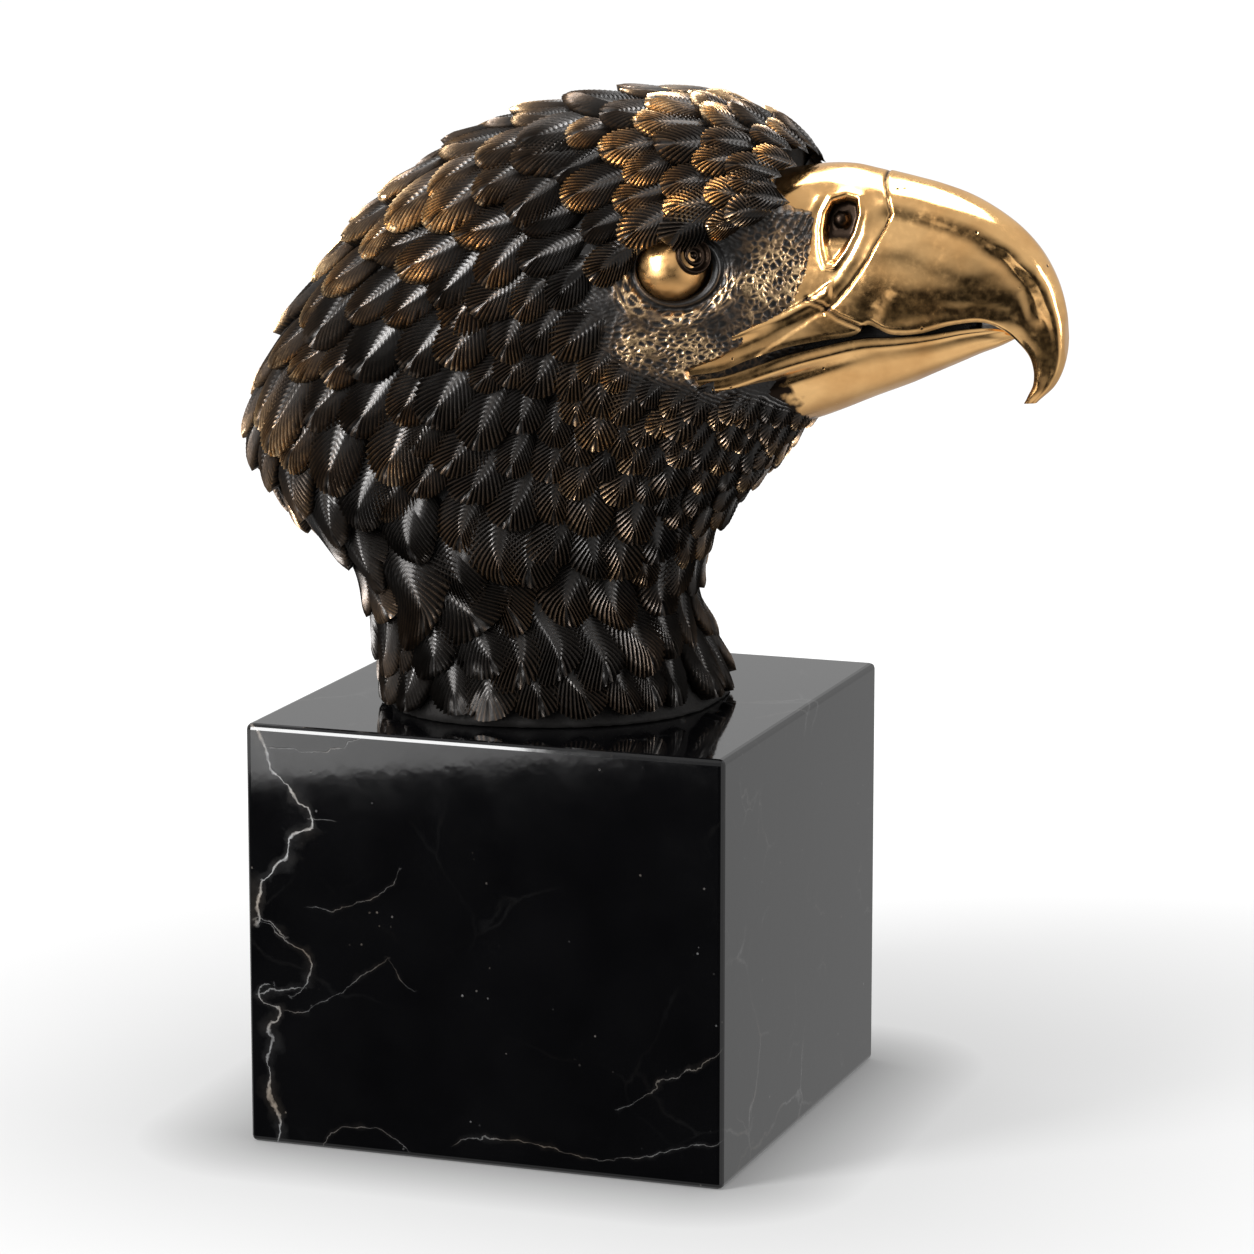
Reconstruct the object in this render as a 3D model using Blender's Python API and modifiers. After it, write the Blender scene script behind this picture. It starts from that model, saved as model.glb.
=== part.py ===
# Eagle head bust: one bronze casting of a head, neck and hooked beak, standing on a polished marble block.
# Metres, +Z up. The bird looks along +X, its plane of symmetry is y = 0, and the origin is the middle of the
# block's underside.

import math

import bmesh
import bpy
import numpy as np
from mathutils import Matrix, Vector

MM = 0.001

# Plinth
PLINTH_SIDE = 135 * MM
PLINTH_HEIGHT = 116 * MM
PLINTH_EDGE_RADIUS = 1.6 * MM
PLINTH_EDGE_STEPS = 3
SEAT_GAP = 0.3 * MM

# Bust. Its stations below are drawn in millimetres for a bust of DRAWN_HEIGHT, measured from the neck's foot.
BUST_HEIGHT = 166 * MM
DRAWN_HEIGHT = 166.0
METRES_PER_DRAWN_MM = BUST_HEIGHT / DRAWN_HEIGHT
BUST_FORWARD = 0 * MM

# Plumage, as rows of overlapping feathers along the rings of the head and neck. FEATHER_COLUMNS of them lie
# side by side from crown to throat, each four columns of points wide: middle, shoulder, joint, shoulder.
FEATHER_ROWS = 19
FEATHER_COLUMNS = 10
COLUMNS_PER_FEATHER = 4
FIRST_ROW_AT = 0.07
TIP_REACH = (0.42, 0.25, -0.28, 0.25)
TIP_RISE = (1.0, 0.78, 0.25, 0.78)
FOOT_RISE = (0.0, 0.02, 0.16, 0.02)
FEATHER_RISE = 0.19
MOST_FEATHER_RISE = 3.3
FEATHER_WALL = 0.10
BARE_ROW_WALL = 0.40
LAST_TIP_AT = 0.985
LOWEST_TIP = 0.35

# Eye
EYE_RADIUS = 8.8
EYE_CENTRE = Vector((39.0, 27.0, 122.3))
PUPIL_LOOK = Vector((0.822, 0.383, 0.421))
PUPIL_RADIUS = 4.1
PUPIL_PROUD = 1.1
PUPIL_DEPTH = 4.0
LID_RADIUS = 11.4
LID_THICKNESS = 1.5
LID_SQUASH = 0.80
LID_FROM_EYE = Vector((0.6, 3.7, -0.4))
FACE_TAPER = math.radians(20)
SOCKET_FROM_EYE = Vector((0.5, 6.3, -0.5))
SOCKET_HALF_SIZE = (12.8, 4.5, 10.0)

# Nostril, a leaning oval pit in each side of the beak
NOSTRIL_CENTRE = Vector((80.6, 14.9, 131.5))
NOSTRIL_HALF_SIZE = (4.2, 2.4, 7.2)
NOSTRIL_LEAN = math.radians(8)

# Head and neck rings from face to foot: crown or nape x, z; throat x, z; half-width; place and squareness
# of the widest point.
HEAD_STATIONS = (
    (77.0, 140.0, 76.0, 87.0, 9.0, 0.48, 0.80),
    (73.0, 146.5, 72.0, 82.0, 17.0, 0.46, 0.78),
    (66.3, 153.6, 67.0, 77.5, 21.5, 0.46, 0.78),
    (57.0, 159.3, 62.3, 72.6, 26.0, 0.46, 0.82),
    (44.0, 163.3, 57.6, 66.7, 31.0, 0.46, 0.85),
    (28.0, 164.8, 52.8, 61.9, 35.0, 0.47, 0.88),
    (8.0, 162.3, 47.8, 57.0, 38.5, 0.47, 0.92),
    (-14.0, 156.3, 43.6, 52.0, 41.5, 0.47, 0.95),
    (-35.7, 145.2, 39.7, 46.4, 44.0, 0.48, 0.98),
    (-55.0, 130.0, 37.4, 40.6, 46.0, 0.48, 1.00),
    (-70.5, 111.3, 35.5, 35.0, 47.5, 0.48, 1.00),
    (-82.3, 91.2, 34.3, 30.0, 48.5, 0.47, 0.98),
    (-87.0, 72.0, 34.5, 25.0, 48.5, 0.46, 0.95),
    (-76.5, 56.0, 35.5, 20.0, 48.0, 0.45, 0.92),
    (-57.0, 39.4, 37.5, 14.0, 48.5, 0.44, 0.88),
    (-49.0, 19.3, 39.8, 8.0, 49.5, 0.43, 0.84),
    (-45.5, 0.0, 43.5, 0.0, 51.0, 0.42, 0.80),
)

# Upper beak rings from the gape to the hook's tip: culmen x, z; cutting edge x, z; half-widths from the
# culmen down to the cutting edge.
UPPER_BEAK_STATIONS = (
    (50.0, 142.0, 45.0, 94.0, 7.0, 14.0, 28.0, 30.5),
    (58.0, 144.0, 53.0, 95.3, 7.0, 14.0, 25.5, 28.0),
    (66.0, 146.0, 60.0, 98.3, 7.0, 14.0, 22.5, 25.0),
    (74.0, 148.0, 69.0, 101.4, 7.5, 14.2, 19.6, 21.6),
    (81.0, 148.3, 78.0, 103.3, 7.5, 14.2, 17.8, 18.6),
    (87.0, 147.3, 86.0, 104.8, 7.5, 13.9, 16.8, 16.4),
    (91.5, 146.4, 89.6, 107.6, 7.3, 13.4, 16.2, 15.4),
    (98.0, 145.1, 95.5, 105.2, 7.0, 12.8, 15.0, 14.4),
    (105.0, 143.5, 103.0, 105.6, 6.6, 11.8, 13.4, 12.8),
    (113.0, 140.9, 111.0, 107.9, 6.1, 10.4, 11.4, 10.6),
    (121.0, 136.7, 118.5, 108.6, 5.5, 8.8, 9.2, 8.2),
    (128.0, 131.4, 124.0, 106.2, 4.8, 7.2, 7.2, 5.8),
    (133.6, 124.5, 127.6, 102.6, 4.2, 5.8, 5.6, 3.8),
    (137.6, 116.0, 129.9, 99.0, 3.6, 4.8, 4.4, 2.6),
    (139.3, 107.0, 130.9, 95.0, 3.0, 3.8, 3.4, 1.8),
    (138.8, 98.5, 130.6, 91.6, 2.3, 2.9, 2.6, 1.3),
    (136.2, 92.0, 129.4, 88.8, 1.6, 2.1, 1.8, 0.9),
    (131.4, 86.8, 128.0, 86.5, 0.8, 1.1, 1.0, 0.5),
)

# Lower beak rings from the gape to the tip: keel x, z; rim x, z; half-widths from the keel up to the rim.
LOWER_BEAK_STATIONS = (
    (56.0, 74.0, 45.0, 92.5, 9.0, 20.0, 27.0, 29.5),
    (61.0, 75.5, 53.0, 93.6, 8.0, 18.0, 24.5, 27.2),
    (67.0, 78.2, 60.0, 96.0, 7.0, 16.0, 21.6, 24.2),
    (75.0, 81.2, 69.0, 99.2, 6.0, 14.2, 18.8, 20.6),
    (83.0, 84.6, 78.0, 101.6, 5.6, 12.8, 16.6, 17.6),
    (91.0, 87.9, 87.0, 103.6, 5.2, 11.6, 14.6, 15.2),
    (99.0, 91.2, 96.0, 104.2, 4.8, 10.2, 12.6, 13.0),
    (107.0, 95.0, 104.5, 105.0, 4.2, 8.6, 10.4, 10.8),
    (115.0, 98.8, 113.0, 106.4, 3.4, 6.6, 7.9, 8.2),
    (121.0, 101.2, 119.5, 106.8, 2.4, 4.6, 5.4, 5.6),
    (125.5, 103.6, 124.4, 105.8, 1.0, 1.8, 2.1, 2.2),
)
SECTION_KNOTS = (0.0, 0.16, 0.50, 0.82, 1.0)
SECTION_DEPTHS = (0.0, 0.075, 0.42, 0.80, 1.0)
SECTION_CROWN_FLARE = 1.55

# The bare face, seen from the side: feathers stop along this outline.
FACE_OUTLINE = (
    (72, 146), (69, 141), (62, 137.5), (54, 134.5), (46, 132), (36, 129), (27, 125), (20, 119),
    (17, 111), (19, 103), (26, 96.5), (34, 92), (42, 89), (47, 87), (54, 85.5), (62, 84.5),
    (69, 82), (72, 77), (95, 72), (95, 160), (76, 154),
)
FACE_EDGE_BLEND = 2.5

# Brow ridge, seen from the side, with how far it stands out
BROW_LINE = ((70, 141.5), (62, 139), (54, 136.5), (46, 134), (36, 130.5), (26, 126), (12, 120), (-4, 114))
BROW_PROUD = (2.5, 4.6, 5.8, 5.8, 5.2, 3.6, 1.6, 0.0)
BROW_WIDTH_ABOVE = 9.0
BROW_WIDTH_BELOW = 2.2

# Groove between the cere and the horn of the beak, seen from the side
CERE_GROOVE = (
    (90.3, 145.3), (92.5, 141), (94.1, 136.5), (92.6, 133), (91, 129.5), (89, 124.5), (85, 118), (81, 113),
)
CERE_GROOVE_TOP = (89.8, 0.0, 147.1)
CERE_GROOVE_RADIUS = 0.9
CERE_GROOVE_SIDES = 6

# Fineness of the facets
UPPER_BEAK_RINGS, UPPER_BEAK_SIDE_POINTS = 27, 8
LOWER_BEAK_RINGS, LOWER_BEAK_SIDE_POINTS = 13, 6
EYE_SEGMENTS, EYE_RINGS = 16, 11
SOCKET_SEGMENTS, SOCKET_RINGS = 20, 10
LID_SEGMENTS, LID_SIDES = 24, 6
NOSTRIL_SEGMENTS, NOSTRIL_RINGS = 14, 8
SMOOTH_BELOW = math.radians(32)

# Dark core that fills the mouth behind the lips, measured from the lower beak's rim
MOUTH_CORE_FROM, MOUTH_CORE_TO = 1, 9
MOUTH_CORE_DOWN, MOUTH_CORE_UP = 3.0, 5.5
MOUTH_CORE_WIDTH = 0.78


def clear_scene():
    for old in list(bpy.data.objects):
        bpy.data.objects.remove(old)


def collection(name):
    made = bpy.data.collections.new(name)
    bpy.context.scene.collection.children.link(made)
    return made


def material(name, colour, metallic, roughness):
    made = bpy.data.materials.new(name)
    made.use_nodes = True
    shader = made.node_tree.nodes["Principled BSDF"]
    shader.inputs["Base Color"].default_value = (*colour, 1.0)
    shader.inputs["Metallic"].default_value = metallic
    shader.inputs["Roughness"].default_value = roughness
    made.diffuse_color = (*colour, 1.0)
    return made


def smooth_curve(knots, values, at):
    """Cubic through the values at the knots, read at each place in at."""
    knots = np.asarray(knots, float)
    values = np.asarray(values, float)
    span = np.diff(knots)[:, None]
    slope = np.diff(values, axis=0) / span
    tangent = np.empty_like(values)
    tangent[0], tangent[-1] = slope[0], slope[-1]
    tangent[1:-1] = (slope[:-1] * span[1:] + slope[1:] * span[:-1]) / (span[1:] + span[:-1])
    at = np.clip(np.asarray(at, float), knots[0], knots[-1])
    i = np.clip(np.searchsorted(knots, at, side="right") - 1, 0, len(knots) - 2)
    width = (knots[i + 1] - knots[i])[..., None]
    x = (at[..., None] - knots[i][..., None]) / width
    return (
        (2 * x**3 - 3 * x**2 + 1) * values[i]
        + (x**3 - 2 * x**2 + x) * width * tangent[i]
        + (3 * x**2 - 2 * x**3) * values[i + 1]
        + (x**3 - x**2) * width * tangent[i + 1]
    )


def smooth_step(x):
    x = np.clip(x, 0.0, 1.0)
    return x * x * (3 - 2 * x)


def distance_to_line(x, z, line):
    """Distance in the side view from each point to the line, the knot number at the nearest place, and
    whether the point lies above it."""
    line = np.asarray(line, float)
    best = np.full(np.shape(x), np.inf)
    place = np.zeros(np.shape(x))
    above = np.zeros(np.shape(x), bool)
    for n, (a, b) in enumerate(zip(line[:-1], line[1:])):
        d = b - a
        t = np.clip(((x - a[0]) * d[0] + (z - a[1]) * d[1]) / (d @ d), 0, 1)
        away = np.hypot(x - a[0] - t * d[0], z - a[1] - t * d[1])
        nearer = away < best
        best = np.where(nearer, away, best)
        place = np.where(nearer, n + t, place)
        above = np.where(nearer, z > a[1] + t * d[1], above)
    return best, place, above


def inside_outline(x, z, outline):
    """True where a point of the side view lies inside the closed outline."""
    inside = np.zeros(np.shape(x), bool)
    for (ax, az), (bx, bz) in zip(outline, outline[1:] + outline[:1]):
        if az == bz:
            continue
        crosses = (az > z) != (bz > z)
        inside ^= crosses & (x < (bx - ax) * (z - az) / (bz - az) + ax)
    return inside


def plumage(x, z):
    """1 where feathers grow, 0 on the bare face, in the side view."""
    closed = FACE_OUTLINE + FACE_OUTLINE[:1]
    away = distance_to_line(x, z, closed)[0]
    return np.where(inside_outline(x, z, FACE_OUTLINE), 0.0, smooth_step(away / FACE_EDGE_BLEND))


def brow(x, z):
    """How far the brow ridge stands out sideways at a point of the side view."""
    away, place, above = distance_to_line(x, z, BROW_LINE)
    proud = np.interp(place, range(len(BROW_PROUD)), BROW_PROUD)
    width = np.where(above, BROW_WIDTH_ABOVE, BROW_WIDTH_BELOW)
    return proud * np.exp(-((away / width) ** 2))


def head_point(u, v):
    """Bare form of the head and neck. u runs from face to foot, v from crown down the bird's left side."""
    knots = np.linspace(0, 1, len(HEAD_STATIONS))
    s = smooth_curve(knots, HEAD_STATIONS, u)
    angle = np.pi * v
    depth = (1 - np.cos(angle)) / 2
    depth = depth + (s[..., 5] - 0.5) * 4 * depth * (1 - depth)
    side = np.clip(np.sin(angle), 0, 1) ** s[..., 6]
    x = s[..., 0] * (1 - depth) + s[..., 2] * depth
    z = s[..., 1] * (1 - depth) + s[..., 3] * depth
    y = s[..., 4] * side + brow(x, z) * side
    return np.stack([x, y, z], -1)


def head_normal(u, v):
    step = 1e-3
    along = head_point(np.clip(u + step, 0, 1), v) - head_point(np.clip(u - step, 0, 1), v)
    inner = np.clip(v, step, 1 - step)
    round_ring = head_point(u, inner + step) - head_point(u, inner - step)
    n = np.cross(round_ring, along)
    n /= np.maximum(np.linalg.norm(n, axis=-1, keepdims=True), 1e-9)
    middle = (v <= step) | (v >= 1 - step)
    n[..., 1] = np.where(middle, 0.0, n[..., 1])
    return n


def feather_rows():
    """Rings of the plumage as (u, lift) arrays over the columns of a half ring: at each row of feathers the
    rounded tips, then the foot of the step below them."""
    columns = FEATHER_COLUMNS * COLUMNS_PER_FEATHER
    column = np.arange(columns + 1)
    v = column / columns
    pitch = (1.0 - FIRST_ROW_AT) / FEATHER_ROWS
    rings = [(np.zeros(columns + 1), np.zeros(columns + 1))]
    for row in range(FEATHER_ROWS):
        shift = (row % 2) * COLUMNS_PER_FEATHER // 2
        phase = (column + shift) % COLUMNS_PER_FEATHER
        last = row == FEATHER_ROWS - 1
        middle = FIRST_ROW_AT + pitch * row
        base = head_point(np.full(columns + 1, middle), v)
        spacing = np.linalg.norm(base - head_point(np.full(columns + 1, middle - pitch), v), axis=-1)
        feathered = plumage(base[..., 0], base[..., 2])
        tip = middle + pitch * np.array(TIP_REACH)[phase] * feathered
        if last:
            tip = np.minimum(tip, LAST_TIP_AT)
        rise = np.minimum(FEATHER_RISE * spacing, MOST_FEATHER_RISE) * feathered
        wall = FEATHER_WALL * feathered + BARE_ROW_WALL * (1 - feathered)
        rings.append((tip, rise * np.array(TIP_RISE)[phase]))
        rings.append((tip + pitch * wall, rise * np.array(FOOT_RISE)[phase]))
    rings.append((np.ones(columns + 1), np.zeros(columns + 1)))
    return v, rings


def bust_to_world(points):
    """Millimetres in the bust's own frame to metres over the plinth."""
    foot = Vector((BUST_FORWARD, 0, PLINTH_HEIGHT + SEAT_GAP))
    return [Vector(p) * METRES_PER_DRAWN_MM + foot for p in points]


def skin_rings(name, rings, shader, into):
    """A closed solid whose skin joins the rings, each a loop of points, capped at both ends."""
    form = bmesh.new()
    loops = [[form.verts.new(p) for p in bust_to_world(ring)] for ring in rings]
    for a, b in zip(loops[:-1], loops[1:]):
        for i in range(len(a)):
            j = (i + 1) % len(a)
            form.faces.new((a[i], a[j], b[j], b[i]))
    for loop, backwards in ((loops[0], True), (loops[-1], False)):
        form.faces.new(loop[::-1] if backwards else loop)
    caps = [f for f in form.faces if len(f.verts) > 4]
    bmesh.ops.triangulate(form, faces=caps)
    bmesh.ops.recalc_face_normals(form, faces=form.faces)
    return object_from(form, name, shader, into)


def object_from(form, name, shader, into):
    mesh = bpy.data.meshes.new(name)
    form.to_mesh(mesh)
    form.free()
    mesh.materials.append(shader)
    made = bpy.data.objects.new(name, mesh)
    into.objects.link(made)
    return made


def whole_ring(half):
    """A full loop from a half ring that starts and ends on the plane of symmetry."""
    other = half[-2:0:-1] * np.array([1, -1, 1])
    return np.concatenate([half, other])


def head_with_plumage(shader, into):
    v, rings = feather_rows()
    loops = []
    for u, lift in rings:
        points = head_point(u, v) + head_normal(u, v) * lift[:, None]
        points[[0, -1], 1] = 0.0
        if u.min() == 1.0:
            points[:, 2] = 0.0
        else:
            points[:, 2] = np.maximum(points[:, 2], LOWEST_TIP)
        loops.append(whole_ring(points))
    return skin_rings("head", loops, shader, into)


def beak_section(widths, t):
    """Half-width and depth, as a share of the chord, at t along the side of a beak ring."""
    outline = np.stack([np.concatenate([[0.0], widths]), SECTION_DEPTHS], -1)
    knots = np.asarray(SECTION_KNOTS)
    slope = np.diff(outline, axis=0) / np.diff(knots)[:, None]
    lead = knots[0] - 0.5 * (knots[1] - knots[0])
    first = outline[0] - slope[0] * np.array([SECTION_CROWN_FLARE, 0.0]) * (knots[0] - lead)
    along = smooth_curve(np.concatenate([[lead], knots]), np.concatenate([[first], outline]), t)
    return along[..., 0], along[..., 1]


def beak_rings(stations, ring_count, side_points):
    """Loops of a beak from its stations. The side runs from the ridge to the cutting edge."""
    knots = np.linspace(0, 1, len(stations))
    t = np.linspace(0, 1, side_points)
    loops = []
    for s in smooth_curve(knots, stations, np.linspace(0, 1, ring_count)):
        width, depth = beak_section(s[4:8], t)
        x = s[0] * (1 - depth) + s[2] * depth
        z = s[1] * (1 - depth) + s[3] * depth
        half = np.stack([x, width, z], -1)
        half[0, 1] = 0.0
        loops.append(np.concatenate([half, half[:0:-1] * np.array([1, -1, 1])]))
    return loops


def mouth_core(shader, into):
    loops = []
    for s in LOWER_BEAK_STATIONS[MOUTH_CORE_FROM:MOUTH_CORE_TO]:
        wide = s[7] * MOUTH_CORE_WIDTH
        low, high = s[3] - MOUTH_CORE_DOWN, s[3] + MOUTH_CORE_UP
        corners = ((-wide, low), (wide, low), (wide, high), (-wide, high))
        loops.append(np.array([(s[2], y, z) for y, z in corners]))
    return skin_rings("mouth_core", loops, shader, into)


def upper_beak_width(x, z):
    """Half-width of the upper beak at a point of the side view, read at the nearest of many points on it."""
    knots = np.linspace(0, 1, len(UPPER_BEAK_STATIONS))
    t = np.linspace(0, 1, 60)
    best, found = np.inf, 0.0
    for s in smooth_curve(knots, UPPER_BEAK_STATIONS, np.linspace(0, 0.6, 160)):
        width, depth = beak_section(s[4:8], t)
        away = np.hypot(s[0] * (1 - depth) + s[2] * depth - x, s[1] * (1 - depth) + s[3] * depth - z)
        if away.min() < best:
            best, found = away.min(), width[away.argmin()]
    return found


def tube(name, path, radius, sides, shader, into):
    """A closed round bar along the path."""
    path = np.asarray(path, float)
    ahead = np.gradient(path, axis=0)
    ahead /= np.linalg.norm(ahead, axis=1, keepdims=True)
    across = np.cross(ahead, (1.0, 0.0, 0.0))
    across /= np.linalg.norm(across, axis=1, keepdims=True)
    other = np.cross(ahead, across)
    turns = 2 * np.pi * np.arange(sides) / sides
    loops = [
        p + radius * (np.cos(turns)[:, None] * a + np.sin(turns)[:, None] * b)
        for p, a, b in zip(path, across, other)
    ]
    return skin_rings(name, loops, shader, into)


def cere_groove(shader, into):
    left = [(x, upper_beak_width(x, z), z) for x, z in CERE_GROOVE]
    top = [CERE_GROOVE_TOP]
    right = [(x, -y, z) for x, y, z in left]
    path = left[::-1] + top + right
    return tube("cere_groove", path, CERE_GROOVE_RADIUS, CERE_GROOVE_SIDES, shader, into)


def place_on_side(form, centre, turn, side):
    """Turns a shape at the origin, moves it to the centre, and mirrors it to the given side."""
    flip = Matrix.Scale(-1, 4, Vector((0, 1, 0))) if side < 0 else Matrix.Identity(4)
    foot = Matrix.Translation((BUST_FORWARD, 0, PLINTH_HEIGHT + SEAT_GAP))
    size = Matrix.Scale(METRES_PER_DRAWN_MM, 4)
    matrix = foot @ size @ flip @ Matrix.Translation(centre) @ turn
    bmesh.ops.transform(form, matrix=matrix, verts=form.verts)
    bmesh.ops.recalc_face_normals(form, faces=form.faces)


def facing(direction):
    return Vector(direction).to_track_quat("Z", "Y").to_matrix().to_4x4()


def eyeball(side, shader, into):
    form = bmesh.new()
    bmesh.ops.create_uvsphere(form, u_segments=EYE_SEGMENTS, v_segments=EYE_RINGS, radius=EYE_RADIUS)
    place_on_side(form, EYE_CENTRE, facing(PUPIL_LOOK), side)
    return object_from(form, "eyeball", shader, into)


def pupil(side, shader, into):
    form = bmesh.new()
    reach = math.sqrt(EYE_RADIUS**2 - PUPIL_RADIUS**2) + PUPIL_PROUD
    bmesh.ops.create_cone(
        form, cap_ends=True, segments=EYE_SEGMENTS, depth=PUPIL_DEPTH,
        radius1=PUPIL_RADIUS, radius2=PUPIL_RADIUS,
    )
    shift = Matrix.Translation((0, 0, reach - PUPIL_DEPTH / 2))
    place_on_side(form, EYE_CENTRE, facing(PUPIL_LOOK) @ shift, side)
    return object_from(form, "pupil", shader, into)


def eye_socket(side, shader, into):
    form = bmesh.new()
    bmesh.ops.create_uvsphere(form, u_segments=SOCKET_SEGMENTS, v_segments=SOCKET_RINGS, radius=1.0)
    shape = Matrix.Rotation(-FACE_TAPER, 4, "Z") @ Matrix.Diagonal((*SOCKET_HALF_SIZE, 1.0))
    place_on_side(form, EYE_CENTRE + SOCKET_FROM_EYE, shape, side)
    return object_from(form, "socket", shader, into)


def eyelid(side, shader, into):
    bpy.ops.mesh.primitive_torus_add(
        major_radius=LID_RADIUS, minor_radius=LID_THICKNESS,
        major_segments=LID_SEGMENTS, minor_segments=LID_SIDES,
    )
    ring = bpy.context.active_object
    form = bmesh.new()
    form.from_mesh(ring.data)
    bpy.data.objects.remove(ring)
    squash = Matrix.Diagonal((1.0, LID_SQUASH, 1.0, 1.0))
    turn = Matrix.Rotation(-FACE_TAPER, 4, "Z") @ Matrix.Rotation(math.radians(-90), 4, "X") @ squash
    place_on_side(form, EYE_CENTRE + LID_FROM_EYE, turn, side)
    return object_from(form, "eyelid", shader, into)


def nostril(side, shader, into):
    form = bmesh.new()
    bmesh.ops.create_uvsphere(form, u_segments=NOSTRIL_SEGMENTS, v_segments=NOSTRIL_RINGS, radius=1.0)
    shape = Matrix.Rotation(NOSTRIL_LEAN, 4, "Y") @ Matrix.Diagonal((*NOSTRIL_HALF_SIZE, 1.0))
    place_on_side(form, NOSTRIL_CENTRE, shape, side)
    return object_from(form, "nostril", shader, into)


def combine(target, others, operation):
    """Applies one exact Boolean after another to the target, and removes the tools."""
    for other in others:
        step = target.modifiers.new(operation.lower(), "BOOLEAN")
        step.operation = operation
        step.solver = "EXACT"
        step.object = other
        graph = bpy.context.evaluated_depsgraph_get()
        mesh = bpy.data.meshes.new_from_object(target.evaluated_get(graph))
        target.modifiers.clear()
        target.data = mesh
        bpy.data.objects.remove(other)


def build_bust(into, shader):
    bust = head_with_plumage(shader, into)
    bust.name = "eagle_bust"
    upper_rings = beak_rings(UPPER_BEAK_STATIONS, UPPER_BEAK_RINGS, UPPER_BEAK_SIDE_POINTS)
    lower_rings = beak_rings(LOWER_BEAK_STATIONS, LOWER_BEAK_RINGS, LOWER_BEAK_SIDE_POINTS)
    upper = skin_rings("upper_beak", upper_rings, shader, into)
    lower = skin_rings("lower_beak", lower_rings, shader, into)
    sides = (-1, 1)
    combine(bust, [eye_socket(s, shader, into) for s in sides], "DIFFERENCE")
    combine(upper, [nostril(s, shader, into) for s in sides], "DIFFERENCE")
    combine(upper, [cere_groove(shader, into)], "DIFFERENCE")
    combine(bust, [upper, lower, mouth_core(shader, into)], "UNION")
    combine(bust, [eyelid(s, shader, into) for s in sides], "UNION")
    combine(bust, [eyeball(s, shader, into) for s in sides], "UNION")
    combine(bust, [pupil(s, shader, into) for s in sides], "UNION")
    bust.data.shade_smooth()
    bust.data.set_sharp_from_angle(angle=SMOOTH_BELOW)


def build_plinth(into, shader):
    form = bmesh.new()
    bmesh.ops.create_cube(form, size=1.0)
    size = Matrix.Diagonal((PLINTH_SIDE, PLINTH_SIDE, PLINTH_HEIGHT, 1.0))
    bmesh.ops.transform(form, matrix=size, verts=form.verts)
    plinth = object_from(form, "marble_plinth", shader, into)
    plinth.location.z = PLINTH_HEIGHT / 2
    edge = plinth.modifiers.new("rounded edges", "BEVEL")
    edge.width = PLINTH_EDGE_RADIUS
    edge.segments = PLINTH_EDGE_STEPS
    edge.limit_method = "NONE"


def main():
    clear_scene()
    parts = collection("eagle_head_bust")
    bronze = material("patinated_bronze", (0.16, 0.105, 0.06), 1.0, 0.42)
    marble = material("black_marble", (0.012, 0.012, 0.013), 0.0, 0.06)
    build_plinth(parts, marble)
    build_bust(parts, bronze)


main()
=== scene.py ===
# Looks of the eagle head bust: cast bronze plumage, polished beak and eyes, and a veined black marble plinth.
# Forms are drawn in millimetres in the bust's own frame: +X forward, +Z up from the neck's foot, y = 0 the
# plane of symmetry. The camera sees the bird's right side, which is -Y.

import math

import bpy
import numpy as np
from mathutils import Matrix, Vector, noise


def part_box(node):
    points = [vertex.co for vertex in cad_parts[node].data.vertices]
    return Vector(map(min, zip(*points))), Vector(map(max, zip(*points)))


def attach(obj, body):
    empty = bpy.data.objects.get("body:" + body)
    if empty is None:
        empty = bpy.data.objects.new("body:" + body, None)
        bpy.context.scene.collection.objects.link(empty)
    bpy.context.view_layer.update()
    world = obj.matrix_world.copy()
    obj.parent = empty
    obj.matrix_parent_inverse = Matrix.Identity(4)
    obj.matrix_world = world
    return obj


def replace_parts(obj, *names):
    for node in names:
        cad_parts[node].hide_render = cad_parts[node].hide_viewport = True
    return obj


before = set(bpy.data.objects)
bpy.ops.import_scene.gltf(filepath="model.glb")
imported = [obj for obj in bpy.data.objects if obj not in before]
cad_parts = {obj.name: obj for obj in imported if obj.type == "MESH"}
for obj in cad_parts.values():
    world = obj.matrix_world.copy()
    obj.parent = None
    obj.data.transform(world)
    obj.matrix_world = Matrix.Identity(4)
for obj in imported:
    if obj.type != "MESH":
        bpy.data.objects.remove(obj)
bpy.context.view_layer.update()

BUST_LOW, BUST_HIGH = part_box("eagle_bust")
PLINTH_LOW, PLINTH_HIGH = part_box("marble_plinth")
DRAWN_HEIGHT = 166.0
BUST_HEIGHT = 0.166
SCALE = BUST_HEIGHT / DRAWN_HEIGHT
FOOT_Z = BUST_LOW.z
MM = 0.001
RIGHT, LEFT = 1, -1
SIDE_NAMES = {RIGHT: "right", LEFT: "left"}

# Camera, solved from the plinth's corners
CAMERA_AT = (0.48504, -1.30777, 0.41035)
CAMERA_LOOKS_AT = (0.01489, 0.00533, 0.13419)
CAMERA_LENS = 148.84

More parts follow.
